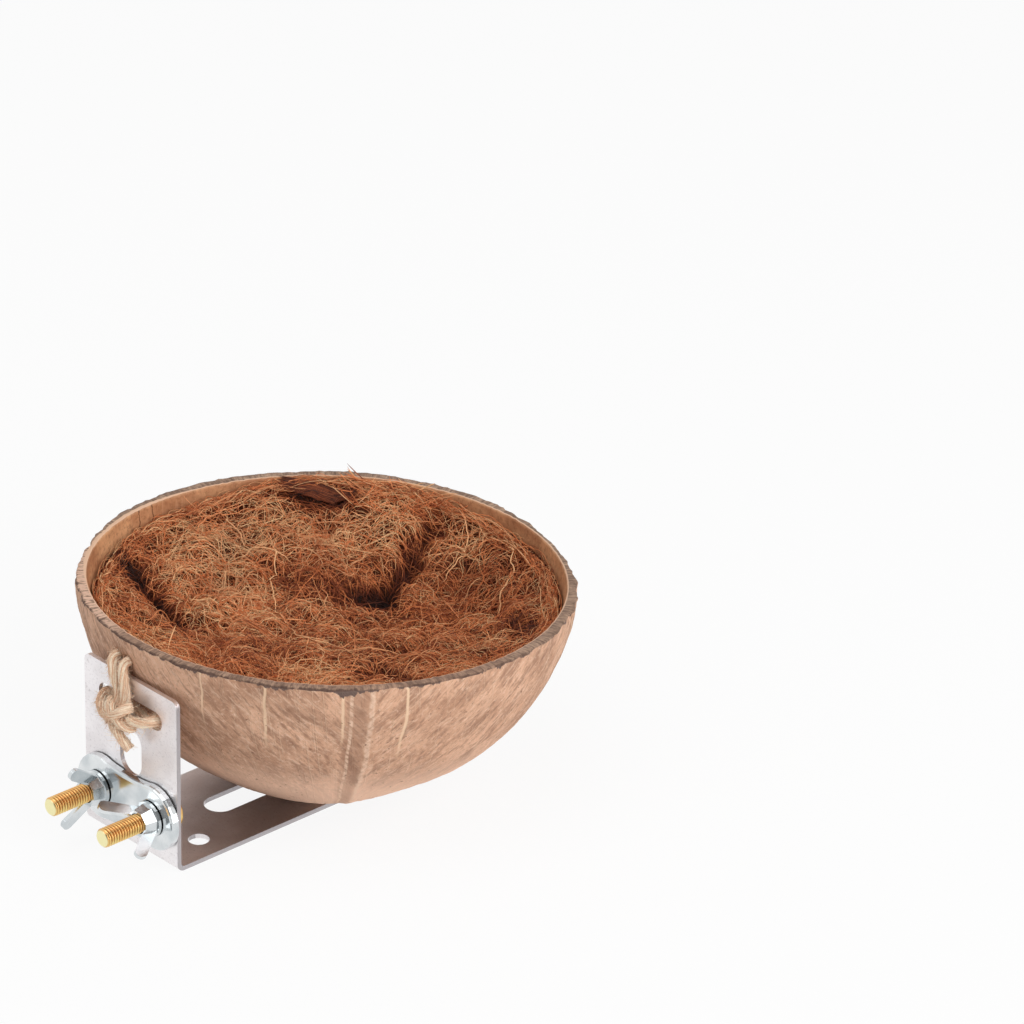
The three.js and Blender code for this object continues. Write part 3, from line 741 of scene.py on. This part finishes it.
def strand_piece(name, paths, radius, sides, material, outward=FIBRE_OUTWARD, dark=0, tip=FIBRE_TIP,
                 place=from_shell):
    """A mesh object of many fibres, thinner at both ends, each with a shade of its own, less a darkness that
    paints shade into folds and light onto swells.
    """
    count, steps, _ = paths.shape
    thinner = 1 - (1 - tip) * np.abs(np.linspace(-1, 1, steps)) ** 6
    points, faces = tubes(paths, np.outer(np.broadcast_to(radius, count), thinner), sides, outward)
    tones = np.repeat((random.uniform(0, 1, (count, 1)) - dark * np.ones(steps)).ravel(), sides)
    piece = mesh_piece(name, place(points) if place else points, faces, [material])
    shades = piece.data.attributes.new(TONE, "FLOAT", "POINT")
    shades.data.foreach_set("value", tones.astype(np.float32))
    strips = piece.data.uv_layers.new(name=FIBRE_MAP, do_init=False)
    strips.uv.foreach_set("vector", strip_map(count, steps, sides).astype(np.float32).ravel())
    return piece


def drawn(limits, count):
    """A random number for each fibre, as a column."""
    return random.uniform(*limits, count)[:, None]


# Coconut shell: skin, sawn rim and inner wall in one mesh, with ridges down its sutures

def wall(turn, radius, depth, base):
    """Radius and height of the shell's wall at a turn from 0, its bottom, to a quarter circle, its rim."""
    r = radius * np.sin(turn) ** (2 / RADIUS_POWER)
    z = base + depth * (1 - np.abs(np.cos(turn)) ** (2 / DEPTH_POWER))
    return r, z


def husk_relief(angle, z):
    """Lumps and grooves of the husk, the ridges at its sutures, flat places of the rim and the bulge."""
    x, y = np.cos(angle), np.sin(angle)
    relief = waves(40 * x + z, 40 * y - 0.6 * z, (26, 11), (0.28, 0.12), 3) - 0.25
    relief = relief + waves(160 * x, 160 * y, (7, 4), (0.08, 0.06), 4)
    for suture in SUTURES:
        for aside, height, width in SUTURE_RELIEF:
            relief = relief + height * nearness(angle, suture + aside / RIM_RADIUS, width / RIM_RADIUS)
    for direction, spread, depth in RIM_FLATS:
        flat = nearness(angle, radians(direction), radians(spread))
        relief = relief - depth * flat * (z / SHELL_DEPTH) ** 3
    direction, spread, size, level, reach = BULGE
    bulge = nearness(angle, radians(direction), radians(spread))
    return relief + size * bulge * np.exp(-((z - level) / reach) ** 2)


def shell_piece():
    turns = np.linspace(FOOT_TURN, pi / 2, WALL_RINGS, endpoint=False)
    outer_r, outer_z = wall(turns, RIM_RADIUS, SHELL_DEPTH, 0)
    inner_r, inner_z = wall(turns[::-1], RIM_RADIUS - SHELL_WALL, SHELL_DEPTH - SHELL_WALL, SHELL_WALL)
    across, rise, relief = np.transpose(RIM_SECTION)
    r = np.concatenate([outer_r, RIM_RADIUS - SHELL_WALL * across, inner_r])[:, None]
    z = np.concatenate([outer_z, SHELL_DEPTH + rise, inner_z])[:, None]
    skin = np.concatenate([np.ones(WALL_RINGS), relief, np.zeros(WALL_RINGS)])[:, None]
    rings = len(r)
    ring = np.arange(rings)[:, None]
    inner_edge = WALL_RINGS + len(RIM_SECTION) - 2
    sawn = (ring >= WALL_RINGS - 1) & (ring <= inner_edge)
    angle = ring_turns(SHELL_SECTORS)
    rim_x, rim_y = 62 * np.cos(angle), 62 * np.sin(angle)
    scallops = waves(rim_x, rim_y, (9, 4), (0.2, 0.16), 5)
    teeth = waves(rim_x, rim_y, (3, 1.8), (0.06, 0.05), 6)
    radius = r + skin * (husk_relief(angle, z) + sawn * scallops)
    dip = RIM_DIP * np.exp(np.cos(angle - RIM_DIP_PLACE) * 2 - 2)
    height = z * (1 - dip / SHELL_DEPTH) + sawn * teeth
    points = from_shell(polar(radius, angle, height))
    row = np.repeat(np.arange(rings - 1), SHELL_SECTORS)
    finish = (row >= WALL_RINGS).astype(int) + (row >= inner_edge)
    finishes = [coconut_outside(), coconut_cut(), coconut_inside()]
    piece = ringed_piece("shell_husk", points, finishes, finish, (0, 2))
    drill_cord_holes(piece)
    return piece


def drill_cord_holes(piece):
    turn = ring_turns(HOLE_SIDES)
    z = CORD_HOLE_HEIGHT + CORD_HOLE_RADIUS * np.sin(turn)
    ends = (WALL_FACE - DRILL_MARGIN, WALL_FACE + SHELL_WALL + DRILL_MARGIN)
    for across in CORD_HOLES:
        x = across + CORD_HOLE_RADIUS * np.cos(turn)
        circles = np.array([np.stack([x, np.full(HOLE_SIDES, y), z], -1) for y in ends])
        drill = ringed_piece("drill", circles, [])
        cut = piece.modifiers.new("drill", "BOOLEAN")
        cut.operation = "DIFFERENCE"
        cut.object = drill
        graph = bpy.context.evaluated_depsgraph_get()
        drilled = bpy.data.meshes.new_from_object(piece.evaluated_get(graph))
        piece.modifiers.clear()
        piece.data = drilled
        bpy.data.objects.remove(drill)


# Coir liner: a mat with the solid's folds, and the fibres that lie on it

def line_offset(x, y, start, end):
    """How far points are from a line in plan, and how far to its left, in shares of the liner's radius."""
    along = np.subtract(end, start)
    offset = np.stack([x / LINER_RADIUS - start[0], y / LINER_RADIUS - start[1]], -1)
    share = np.clip(offset @ along / (along @ along), 0, 1)
    away = np.linalg.norm(offset - share[..., None] * along, axis=-1)
    away = away * (1 + FOLD_RAGGEDNESS * waves(x, y, (11, 5), (1, 0.7), 29))
    left = (along[0] * offset[..., 1] - along[1] * offset[..., 0]) / np.linalg.norm(along)
    return away, left


def on_line(x, y, start, end, width):
    """1 on a line in plan, falling to 0 beyond a width from it."""
    away, _ = line_offset(x, y, start, end)
    return np.exp(-(away / width) ** 2)


def fold_height(x, y):
    total = np.zeros(x.shape)
    for start, end, width, rise, _ in FOLDS:
        total = total + rise * LINER_RADIUS * on_line(x, y, start, end, width)
    _, left = line_offset(x, y, *LIP)
    lip = np.tanh(left / LIP_STEEPNESS) * on_line(x, y, *LIP, LIP_WIDTH)
    return total + LIP_RISE * LINER_RADIUS * lip


def fold_shade_and_patch_tone(x, y):
    """How much darker the fibres at points are: a random shade from patch to patch, and painted shade and
    painted light from the folds.
    """
    total = PATCH_SHADES * waves(x, y, (40, 14), (1, 0.7), 23)
    for start, end, width, _, dark in FOLDS:
        total = total + dark * on_line(x, y, start, end, width)
    return total


def fibre_heading(x, y):
    """The direction in which most fibres near a point lie: in swirls, in a fan, and along the folds with
    most painted shade.
    """
    heading = waves(x, y, (45, 20), (1.2, 0.6), 17)
    fan_x, fan_y = x / LINER_RADIUS - FAN_PLACE[0], y / LINER_RADIUS - FAN_PLACE[1]
    fan = np.exp(-(np.hypot(fan_x, fan_y) / FAN_REACH) ** 2)
    heading = heading + fan * (np.arctan2(fan_y, fan_x) - heading)
    for start, end, _, _, dark in FOLDS:
        if dark > DARK_FOLD:
            direction = atan2(end[1] - start[1], end[0] - start[0])
            heading = heading + on_line(x, y, start, end, FOLD_PULL) * (direction - heading)
    return heading


def liner_edge(angle):
    """Radius and height of the liner's edge, the wall's turn there, and how far the cord pushes it in."""
    height = SHELL_DEPTH - LINER_RIM_DROP + LINER_RIM_WAVE * np.cos(angle - LINER_RIM_PEAK)
    height = height + BACK_RISE * nearness(angle, BACK_RISE_PLACE, BACK_RISE_SPREAD, 4)
    turn = np.arccos(((SHELL_DEPTH - height) / LINER_DEPTH) ** (DEPTH_POWER / 2))
    radius, _ = wall(turn, LINER_RADIUS, 1, 0)
    cord_angle = atan2(-RIM_RADIUS, sum(CORD_HOLES) / 2)
    recess = LINER_CORD_RECESS * nearness(angle, cord_angle, LINER_CORD_RECESS_ANGLE, 4)
    return radius, height, turn, recess


def liner_top(x, y):
    """Points on top of the liner over a disc of radius 1."""
    share = np.hypot(x, y)
    angle = np.arctan2(y, x)
    edge_radius, edge_height, _, recess = liner_edge(angle)
    radius = (edge_radius - recess) * share
    px, py = radius * np.cos(angle), radius * np.sin(angle)
    middle = SHELL_DEPTH - LINER_CENTRE_DROP
    dish = middle + (edge_height - middle) * share ** LINER_DISH_POWER
    crumple = waves(px, py, (19, 8), (1.0, 0.45), 11)
    rise = (fold_height(px, py) + crumple) * (1 - share ** LINER_FOLD_FADE)
    return np.stack([px, py, dish + rise], -1)


def liner_underside(x, y):
    """Points under the liner over a disc of radius 1."""
    share = np.hypot(x, y)
    angle = np.arctan2(y, x)
    _, _, edge_turn, recess = liner_edge(angle)
    radius, height = wall(edge_turn * share, LINER_RADIUS, LINER_DEPTH, SHELL_WALL + LINER_GAP)
    return polar(radius - recess * share ** 2, angle, height)


def surface_normal(surface, x, y, sign):
    """Unit normals of a surface over the disc, up for sign 1 and down for sign -1."""
    step = 0.01
    along_x = surface(x + step, y) - surface(x - step, y)
    along_y = surface(x, y + step) - surface(x, y - step)
    return sign * unit(np.cross(along_x, along_y))


def above_liner(x, y, rise):
    return liner_top(x, y) + surface_normal(liner_top, x, y, 1) * rise[..., None]


def liner_mat():
    angle = ring_turns(LINER_SECTORS)
    out = np.linspace(0.01, 1, LINER_RINGS)[:, None]
    back = out[::-1][1:]
    under = liner_underside(out * np.cos(angle), out * np.sin(angle))
    over = liner_top(back * np.cos(angle), back * np.sin(angle))
    return ringed_piece("liner_mat", from_shell(np.concatenate([under, over])), [coir_mat()])


def tuft_paths(count, steps, lengths, bend):
    """Curved paths over a disc of radius 1 that start in tufts and turn gently, as fibres by points."""
    lengths = drawn(lengths, count)
    tufts = count // TUFT_SIZE
    tuft = random.integers(0, tufts, count)
    tuft_angle = random.uniform(0, tau, tufts)[tuft]
    tuft_radius = np.sqrt(random.uniform(0, 1, tufts))[tuft]
    spread_x, spread_y = random.normal(0, TUFT_SPREAD / LINER_RADIUS, (2, count))
    first_x = tuft_radius * np.cos(tuft_angle) + spread_x
    first_y = tuft_radius * np.sin(tuft_angle) + spread_y
    heading = fibre_heading(first_x * LINER_RADIUS, first_y * LINER_RADIUS)
    heading = heading + random.normal(0, TUFT_FAN, tufts)[tuft] + random.normal(0, TUFT_FAN, count)
    turning = random.normal(0, bend, count)[:, None] + random.normal(0, bend, (count, steps))
    heading = heading[:, None] + np.cumsum(turning, axis=1)
    stride = lengths / LINER_RADIUS / steps
    x = first_x[:, None] + np.cumsum(stride * np.cos(heading), axis=1)
    y = first_y[:, None] + np.cumsum(stride * np.sin(heading), axis=1)
    share = np.hypot(x, y)
    past = np.maximum(share - FIBRE_REACH, 0)
    inside = (share - (1 + FIBRE_FOLD_BACK) * past) / np.maximum(share, 1e-6)
    return x * inside, y * inside


def fibres(surface, sign, name, material, count, steps, lengths, bend, radii, lifts, sway, shade):
    """Many fibres that lie on a surface of the liner and rise and dip through it."""
    x, y = tuft_paths(count, steps, lengths, bend)
    base = surface(x, y)
    normal = surface_normal(surface, x, y, sign)
    along = np.linspace(0, 1, steps)
    lift = drawn(lifts, count)
    turns = drawn(FIBRE_WAVES, count)
    rise = lift + sway * np.sin(tau * turns * along + drawn((0, tau), count))
    ends = np.abs(2 * along - 1) ** 4
    paths = base + normal * (rise * (1 - ends) - FIBRE_END_DEPTH * ends)[..., None]
    # painted shade from the folds and painted light from the swells, as much as the layer takes
    dark = shade * fold_shade_and_patch_tone(base[..., 0], base[..., 1])
    return strand_piece(name, paths, random.uniform(*radii, count), FIBRE_SIDES, material, normal, dark)


def fringe(name, material, count, steps, lengths, turns, insets, drifts, levels, radii):
    """Fibres along the liner's edge, between the mat and the wall."""
    along = np.linspace(0, 1, steps)
    span = drawn(lengths, count) / LINER_RADIUS * random.choice([-1, 1], count)[:, None]
    angle = drawn((0, tau), count) + span * along
    radius, height, _, recess = liner_edge(angle)
    wave = np.sin(tau * drawn(turns, count) * along + drawn((0, tau), count))
    inset = drawn(insets, count) + drawn(drifts, count) * along + FRINGE_SWAY * wave
    radius = radius - recess - np.maximum(inset, FRINGE_GAP)
    height = height + (drawn(levels, count) + FRINGE_RISE * np.roll(wave, FRINGE_LAG, axis=1))
    paths = polar(radius, angle, height)
    return strand_piece(name, paths, random.uniform(*radii, count), FIBRE_SIDES, material)


def rolled_edge(name, material, count, steps, starts, ends, radii):
    """A flat roll of fibres that lie side by side along a line."""
    start, end = np.array(ROLL)
    first = drawn(starts, count)
    share = first + (drawn(ends, count) - first) * np.linspace(0, 1, steps)
    aside = drawn((-1, 1), count) * (1 - ROLL_NARROWING * np.abs(2 * share - 1))
    across = unit(np.array([start[1] - end[1], end[0] - start[0]])) * ROLL_HALF_WIDTH / LINER_RADIUS
    x, y = (start[i] + (end[i] - start[i]) * share + aside * across[i] for i in (0, 1))
    crown = np.sqrt(1 - ROLL_ROUNDNESS * aside ** 2)
    paths = above_liner(x, y, ROLL_BASE + ROLL_RISE * crown * drawn((0.8, 1), count))
    radius = random.uniform(*radii, count)
    return strand_piece(name, paths, radius, THICK_FIBRE_SIDES, material, dark=ROLL_DARKNESS)


def long_strands(name, material, steps, radii):
    lift = STRAND_LIFT + STRAND_SWAY * np.sin(np.linspace(0, STRAND_WAVES, steps))
    paths = []
    for places in LONG_STRANDS:
        line, _ = smooth_path([(*place, 0) for place in places], 0.001)
        line = line[np.linspace(0, len(line) - 1, steps).astype(int)]
        paths.append(above_liner(line[:, 0], line[:, 1], lift))
    radius = random.uniform(*radii, len(paths))
    return strand_piece(name, np.array(paths), radius, STRAND_SIDES, material, dark=STRAND_DARKNESS)


def strays(name, material, count, steps, angles, shares, slopes, radii):
    """Loose fibres that leave the mat near its edge and stand up."""
    angle = drawn(angles, count)
    share = drawn(shares, count)
    base = liner_top(share * np.cos(angle), share * np.sin(angle))
    heading = angle + random.choice([-1, 1], count)[:, None] * drawn(STRAY_TURNS, count)
    direction = polar(1, heading, drawn(slopes, count))
    curl = random.normal(0, STRAY_CURL, (count, 1, 3))
    along = (np.linspace(0, 1, steps) * drawn(STRAY_LENGTHS, count))[..., None]
    paths = base + along * unit(direction) + STRAY_BEND * along ** 2 * curl
    reach = np.hypot(paths[..., 0], paths[..., 1])
    held = np.minimum(reach, RIM_RADIUS - SHELL_WALL - STRAY_GAP) / np.maximum(reach, 1e-6)
    paths[..., :2] *= held[..., None]
    paths[..., 2] = np.minimum(paths[..., 2], SHELL_DEPTH + STRAY_RISE)
    return strand_piece(name, paths, random.uniform(*radii, count), THICK_FIBRE_SIDES, material)


# Jute cord: bundles of yarn along the solid's routes, and loose hairs

def knot_point(across, out, up):
    x = KNOT_OFFSET + across * CORD_DIAMETER
    return (x, CORD_FRONT - out * CORD_DIAMETER, TIE_SLOT_HEIGHT + up * CORD_DIAMETER)


def strand(hole, knot):
    """From the knot over the upright's top edge into a hole of the shell."""
    def between(share):
        return hole + (KNOT_OFFSET + knot * CORD_DIAMETER - hole) * share
    return [
        knot_point(knot, 0.6, 0.4),
        (between(0.8), CORD_FRONT - SEAT_GAP, (TIE_SLOT_HEIGHT + UPRIGHT_HEIGHT) / 2),
        (between(0.4), CORD_FRONT, UPRIGHT_HEIGHT + SEAT_GAP),
        (between(0.1), (CORD_FRONT + UPRIGHT_FACE) / 2, CORD_HOLE_HEIGHT - CORD_RADIUS / 2),
        (hole, WALL_FACE + SEAT_GAP, CORD_HOLE_HEIGHT),
        (hole, WALL_FACE + SHELL_WALL - SEAT_GAP, CORD_HOLE_HEIGHT),
    ]


def arm(side, drop):
    """From the knot to one end of the upright's tie slot and through it."""
    level = TIE_SLOT_HEIGHT
    return [
        (side * 0.5 * ARM_REACH, CORD_FRONT - 0.8 * CORD_DIAMETER, level - drop),
        (side * 0.8 * ARM_REACH, CORD_FRONT - CORD_RADIUS, level - drop / 2),
        (side * ARM_REACH, (CORD_FRONT + UPRIGHT_FACE) / 2, level),
        (side * ARM_REACH, (CORD_BEHIND + UPRIGHT_FACE) / 2, level),
        (side * 0.8 * ARM_REACH, CORD_BEHIND, level - CORD_RADIUS),
        (side * 0.5 * ARM_REACH, CORD_BEHIND, level - CORD_DIAMETER),
    ]


def cord_routes():
    left, right = CORD_HOLES
    inside = [
        (left + SEAT_GAP, CORD_INSIDE - CORD_RADIUS / 2, CORD_HOLE_HEIGHT),
        ((left + right) / 2, CORD_INSIDE, CORD_HOLE_HEIGHT),
        (right - SEAT_GAP, CORD_INSIDE - CORD_RADIUS / 2, CORD_HOLE_HEIGHT),
    ]
    behind = (0, CORD_BEHIND, TIE_SLOT_HEIGHT - 1.2 * CORD_DIAMETER)
    arms = [*arm(-1, CORD_DIAMETER), behind, *arm(1, CORD_RADIUS / 2)[::-1]]
    return [
        [*strand(left, -0.8), *inside, *strand(right, 0)[::-1]],
        [knot_point(-0.4, 0.6, 0), *arms, knot_point(0.2, 0.6, 0)],
        *([knot_point(*point) for point in turn] for turn in KNOT_TURNS),
    ]


def cross_frame(path):
    """Two unit directions across a path that turn as little as they can along it."""
    forward = unit(np.gradient(path, axis=0))
    side = np.zeros_like(path)
    side[0] = unit(np.cross(forward[0], CORD_OUTWARD))
    for i in range(1, len(path)):
        side[i] = unit(side[i - 1] - forward[i] * (side[i - 1] @ forward[i]))
    return side, np.cross(forward, side)


def twine(routes, material):
    """Bundles of thin yarns round a few thick ones, and the places that loose hairs start from."""
    pieces, hairs_from = [], []
    for number, route in enumerate(routes):
        path, at = smooth_path(route, YARN_STEP)
        side, top = cross_frame(path)
        for layer, (yarns, low, high, thin, thick) in YARNS.items():
            reach = (CORD_RADIUS - thin) * drawn((low, high), yarns)
            turn = drawn((0, tau), yarns)
            spin = turn + tau * at / YARN_TWIST
            reach = reach * (1 + YARN_SWAY * np.sin(at * drawn(YARN_WAVES, yarns) + turn))
            offset = (reach * np.cos(spin))[..., None] * side + (reach * np.sin(spin))[..., None] * top
            radius = random.uniform(thin, thick, yarns)
            name = f"cord_{layer}_{number}"
            piece = strand_piece(name, path + offset, radius, YARN_SIDES, material, tip=YARN_TIP, place=None)
            pieces.append(piece)
        hairs_from.append((path + offset, unit(offset)))
    return pieces, hairs_from


def cord_hairs(hairs_from, material):
    paths = []
    for yarns, away in hairs_from:
        count = HAIRS_PER_STEP * yarns.shape[1]
        which = random.integers(0, yarns.shape[0], count)
        where = random.integers(1, yarns.shape[1] - 1, count)
        start = yarns[which, where]
        forward = unit(yarns[which, where + 1] - start) * random.choice([-1, 1], count)[:, None]
        lean = away[which, where] * drawn(HAIR_LEAN, count)
        heading = unit(lean + forward + random.normal(0, HAIR_SPREAD, (count, 3)))
        curl = random.normal(0, HAIR_CURL, (count, 3))
        along = (np.linspace(0, 1, HAIR_POINTS) * drawn(HAIR_LENGTHS, count))[..., None]
        paths.append(start[:, None] + along * heading[:, None] + HAIR_BEND * along ** 2 * curl[:, None])
    paths = np.concatenate(paths)
    return strand_piece("cord_hairs", paths, HAIR_RADIUS, FIBRE_SIDES, material, tip=HAIR_TIP, place=None)


# Bolts: a rolled thread on the shank and a hexagon head

def threaded_bolt(side, across):
    rows = int(BOLT_LENGTH / THREAD_PITCH * THREAD_ROWS)
    along = np.linspace(0, BOLT_LENGTH, rows)[:, None]
    turn = ring_turns(BOLT_SECTORS)[None]
    phase = (along / THREAD_PITCH - turn / tau) % 1
    profile = np.clip(THREAD_FLANK * (0.5 - np.abs(phase - 0.5)), 0, 1)
    start, run_in = THREAD_START
    cut = np.clip((BOLT_LENGTH - along) / THREAD_RUN_OUT, 0, 1) * np.clip((along - start) / run_in, 0, 1)
    radius = BOLT_RADIUS - THREAD_DEPTH * (1 - profile) * cut
    radius = np.minimum(radius, BOLT_RADIUS - BOLT_CHAMFER + BOLT_LENGTH - along)
    flat = BOLT_HEAD_FLATS / 2
    sixth = pi / 6
    hexagon = flat / np.cos((turn + sixth) % (2 * sixth) - sixth)
    rounded = np.minimum(hexagon, flat / cos(sixth) - HEAD_CHAMFER)
    head = np.concatenate([rounded - HEAD_CHAMFER, rounded, hexagon, hexagon])
    depths = np.array([0, HEAD_CHAMFER / 2, HEAD_CHAMFER, BOLT_HEAD_THICKNESS])
    radius = np.concatenate([head, radius])
    along = np.concatenate([depths[:, None] - BOLT_HEAD_THICKNESS, along])
    x, y = across + radius * np.cos(turn), BOLT_SEAT - along + 0 * turn
    points = np.stack([x, y, BOLT_HEIGHT + radius * np.sin(turn)], -1)
    return ringed_piece(f"threaded_bolt_{side}", points, [yellow_zinc(across)])


# Pieces of the nest

shell = shell_piece()
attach(shell, "base")
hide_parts("coconut_shell")

mat = liner_mat()
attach(mat, "liner")
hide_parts("coir_liner")

# the dark coir is a shaded copy of the brown: painted shade on the lowest layers of fibres; the roll at the
# back is made of it too
coir = {
    "dark": coir_fibre("coir_dark", rgb(76, 32, 16), rgb(140, 74, 42), rgb(196, 122, 76)),
    "brown": coir_fibre("coir_brown", rgb(130, 60, 31), rgb(236, 141, 85), rgb(255, 206, 152)),
    "pale": coir_fibre("coir_pale", rgb(176, 98, 58), rgb(236, 150, 96), rgb(255, 202, 148)),
}
fibre_pieces = [
    *(fibres(liner_top, 1, name, coir[kind], *layer) for name, kind, *layer in TOP_FIBRES),
    *(fibres(liner_underside, -1, name, coir[kind], *layer) for name, kind, *layer in UNDER_FIBRES),
    long_strands("coir_strands", coir["pale"], steps=40, radii=(0.12, 0.16)),
    fringe("coir_fringe", coir["brown"], count=900, steps=14, lengths=(6, 24), turns=(0.5, 2),
           insets=(0.2, 3.5), drifts=(-3, 3), levels=(-1.2, 1.2), radii=(0.05, 0.1)),
    rolled_edge("coir_roll", coir["dark"], count=260, steps=14, starts=(-0.02, 0.3), ends=(0.7, 1.02),
                radii=(0.08, 0.14)),
    strays("coir_strays", coir["pale"], count=160, steps=9, angles=(0, tau), shares=(0.55, 0.97),
           slopes=(0.05, 0.45), radii=(0.07, 0.15)),
    strays("coir_back_strays", coir["brown"], count=120, steps=9, angles=BACK_STRAYS, shares=(0.84, 0.98),
           slopes=(0.1, 0.7), radii=(0.07, 0.15)),
]
for piece in fibre_pieces:
    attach(piece, "liner")

jute = jute_yarn()
cord_pieces, hairs_from = twine(cord_routes(), jute)
cord_pieces.append(cord_hairs(hairs_from, jute))
for piece in cord_pieces:
    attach(piece, "base")
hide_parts("tie_cord")

for side, across in BOLT_PLACES.items():
    bolt = threaded_bolt(side, across)
    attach(bolt, "base")
    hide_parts(f"bolt_{side}")


# Carried-over solids

def finish_solid(node, material, edge):
    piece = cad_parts[node]
    piece.data.materials.clear()
    piece.data.materials.append(material)
    rounding = piece.modifiers.new("edge", "BEVEL")
    rounding.width = edge * MM
    rounding.segments = EDGE_SEGMENTS
    rounding.limit_method = "ANGLE"
    rounding.angle_limit = EDGE_ANGLE
    rounding.harden_normals = True


zinc = bright_zinc()
finish_solid("mounting_bracket", satin_steel(), 0.12)
finish_solid("clamp_plate", zinc, 0.1)
finish_solid("wing_nut_left", zinc, 0.18)
finish_solid("wing_nut_right", zinc, 0.18)


# Floor, light and camera

def view_direction(azimuth, elevation):
    """A unit direction from the nest, in degrees from its front towards its right and upwards."""
    a, e = radians(azimuth), radians(elevation)
    return Vector((sin(a) * cos(e), -cos(a) * cos(e), sin(e)))


def studio():
    scene = bpy.context.scene
    scene.view_settings.view_transform = "Standard"
    world = bpy.data.worlds.new("studio")
    scene.world = world
    world.use_nodes = True
    nodes = Nodes(world.node_tree)
    straight = nodes.ray("Camera").most(nodes.ray("Transmission"))
    toward = nodes.node("TexCoord", output="Generated")
    dark_side = nodes.along(toward, view_direction(*DARK_SIDE)).step(0.45, 0.9)
    mirrored = nodes.ray("Glossy") * (1 - WORLD_LIGHT - DARK_SIDE_DEPTH * dark_side)
    background = world.node_tree.nodes["Background"]
    nodes.plug(background.inputs["Strength"], WORLD_LIGHT + (1 - WORLD_LIGHT) * straight + mirrored)
    background.inputs["Color"].default_value = (1, 1, 1, 1)


def soft_lamp(name, azimuth, elevation, size, power):
    data = bpy.data.lights.new(name, "AREA")
    data.shape = "DISK"
    data.size = size
    data.energy = power
    lamp = placed(name, data)
    direction = view_direction(azimuth, elevation)
    lamp.location = (Vector(VIEW_POINT) + direction * LAMP_DISTANCE) * MM
    lamp.rotation_euler = direction.to_track_quat("Z", "Y").to_euler()


def pale_floor():
    paint = Paint("pale_floor", base_color=rgb(240, 240, 240), roughness=0.9, specular_ior_level=0.0)
    seen = paint.ray("Camera").most(paint.ray("Glossy")).most(paint.ray("Transmission"))
    white = paint.node("Emission", None, {"Strength": 1.0})
    lit = Value(paint, paint.shader.outputs[0])
    mixed = paint.node("MixShader", None, {0: seen * FLOOR_WHITE, 1: lit, 2: white})
    paint.plug(paint.tree.nodes["Material Output"].inputs["Surface"], mixed)
    sides = ((-1, -1), (1, -1), (1, 1), (-1, 1))
    corners = [(x * FLOOR_REACH, y * FLOOR_REACH, -FLOOR_DROP) for x, y in sides]
    floor = mesh_piece("floor", corners, [(0, 1, 2, 3)], [paint.material])


def camera():
    data = bpy.data.cameras.new("camera")
    data.sensor_width = SENSOR_WIDTH
    data.lens = FOCAL_PIXELS / FRAME_PIXELS * SENSOR_WIDTH
    toward_eye = view_direction(VIEW_AZIMUTH, VIEW_ELEVATION)
    right = Vector((0, 0, 1)).cross(toward_eye).normalized()
    up = toward_eye.cross(right)
    aside = (FRAME_PIXELS / 2 - VIEW_PIXEL[0]) / FOCAL_PIXELS * VIEW_DISTANCE
    above = (VIEW_PIXEL[1] - FRAME_PIXELS / 2) / FOCAL_PIXELS * VIEW_DISTANCE
    eye = Vector(VIEW_POINT) + toward_eye * VIEW_DISTANCE
    aim = Vector(VIEW_POINT) + right * aside + up * above
    back = (eye - aim).normalized()
    level = up.cross(back).normalized()
    turn = Matrix((level, back.cross(level), back)).transposed()
    seen = placed("camera", data)
    seen.matrix_world = Matrix.Translation(eye * MM) @ turn.to_4x4()
    bpy.context.scene.camera = seen


studio()
pale_floor()
for name, lamp in LAMPS.items():
    soft_lamp(name, *lamp)
camera()
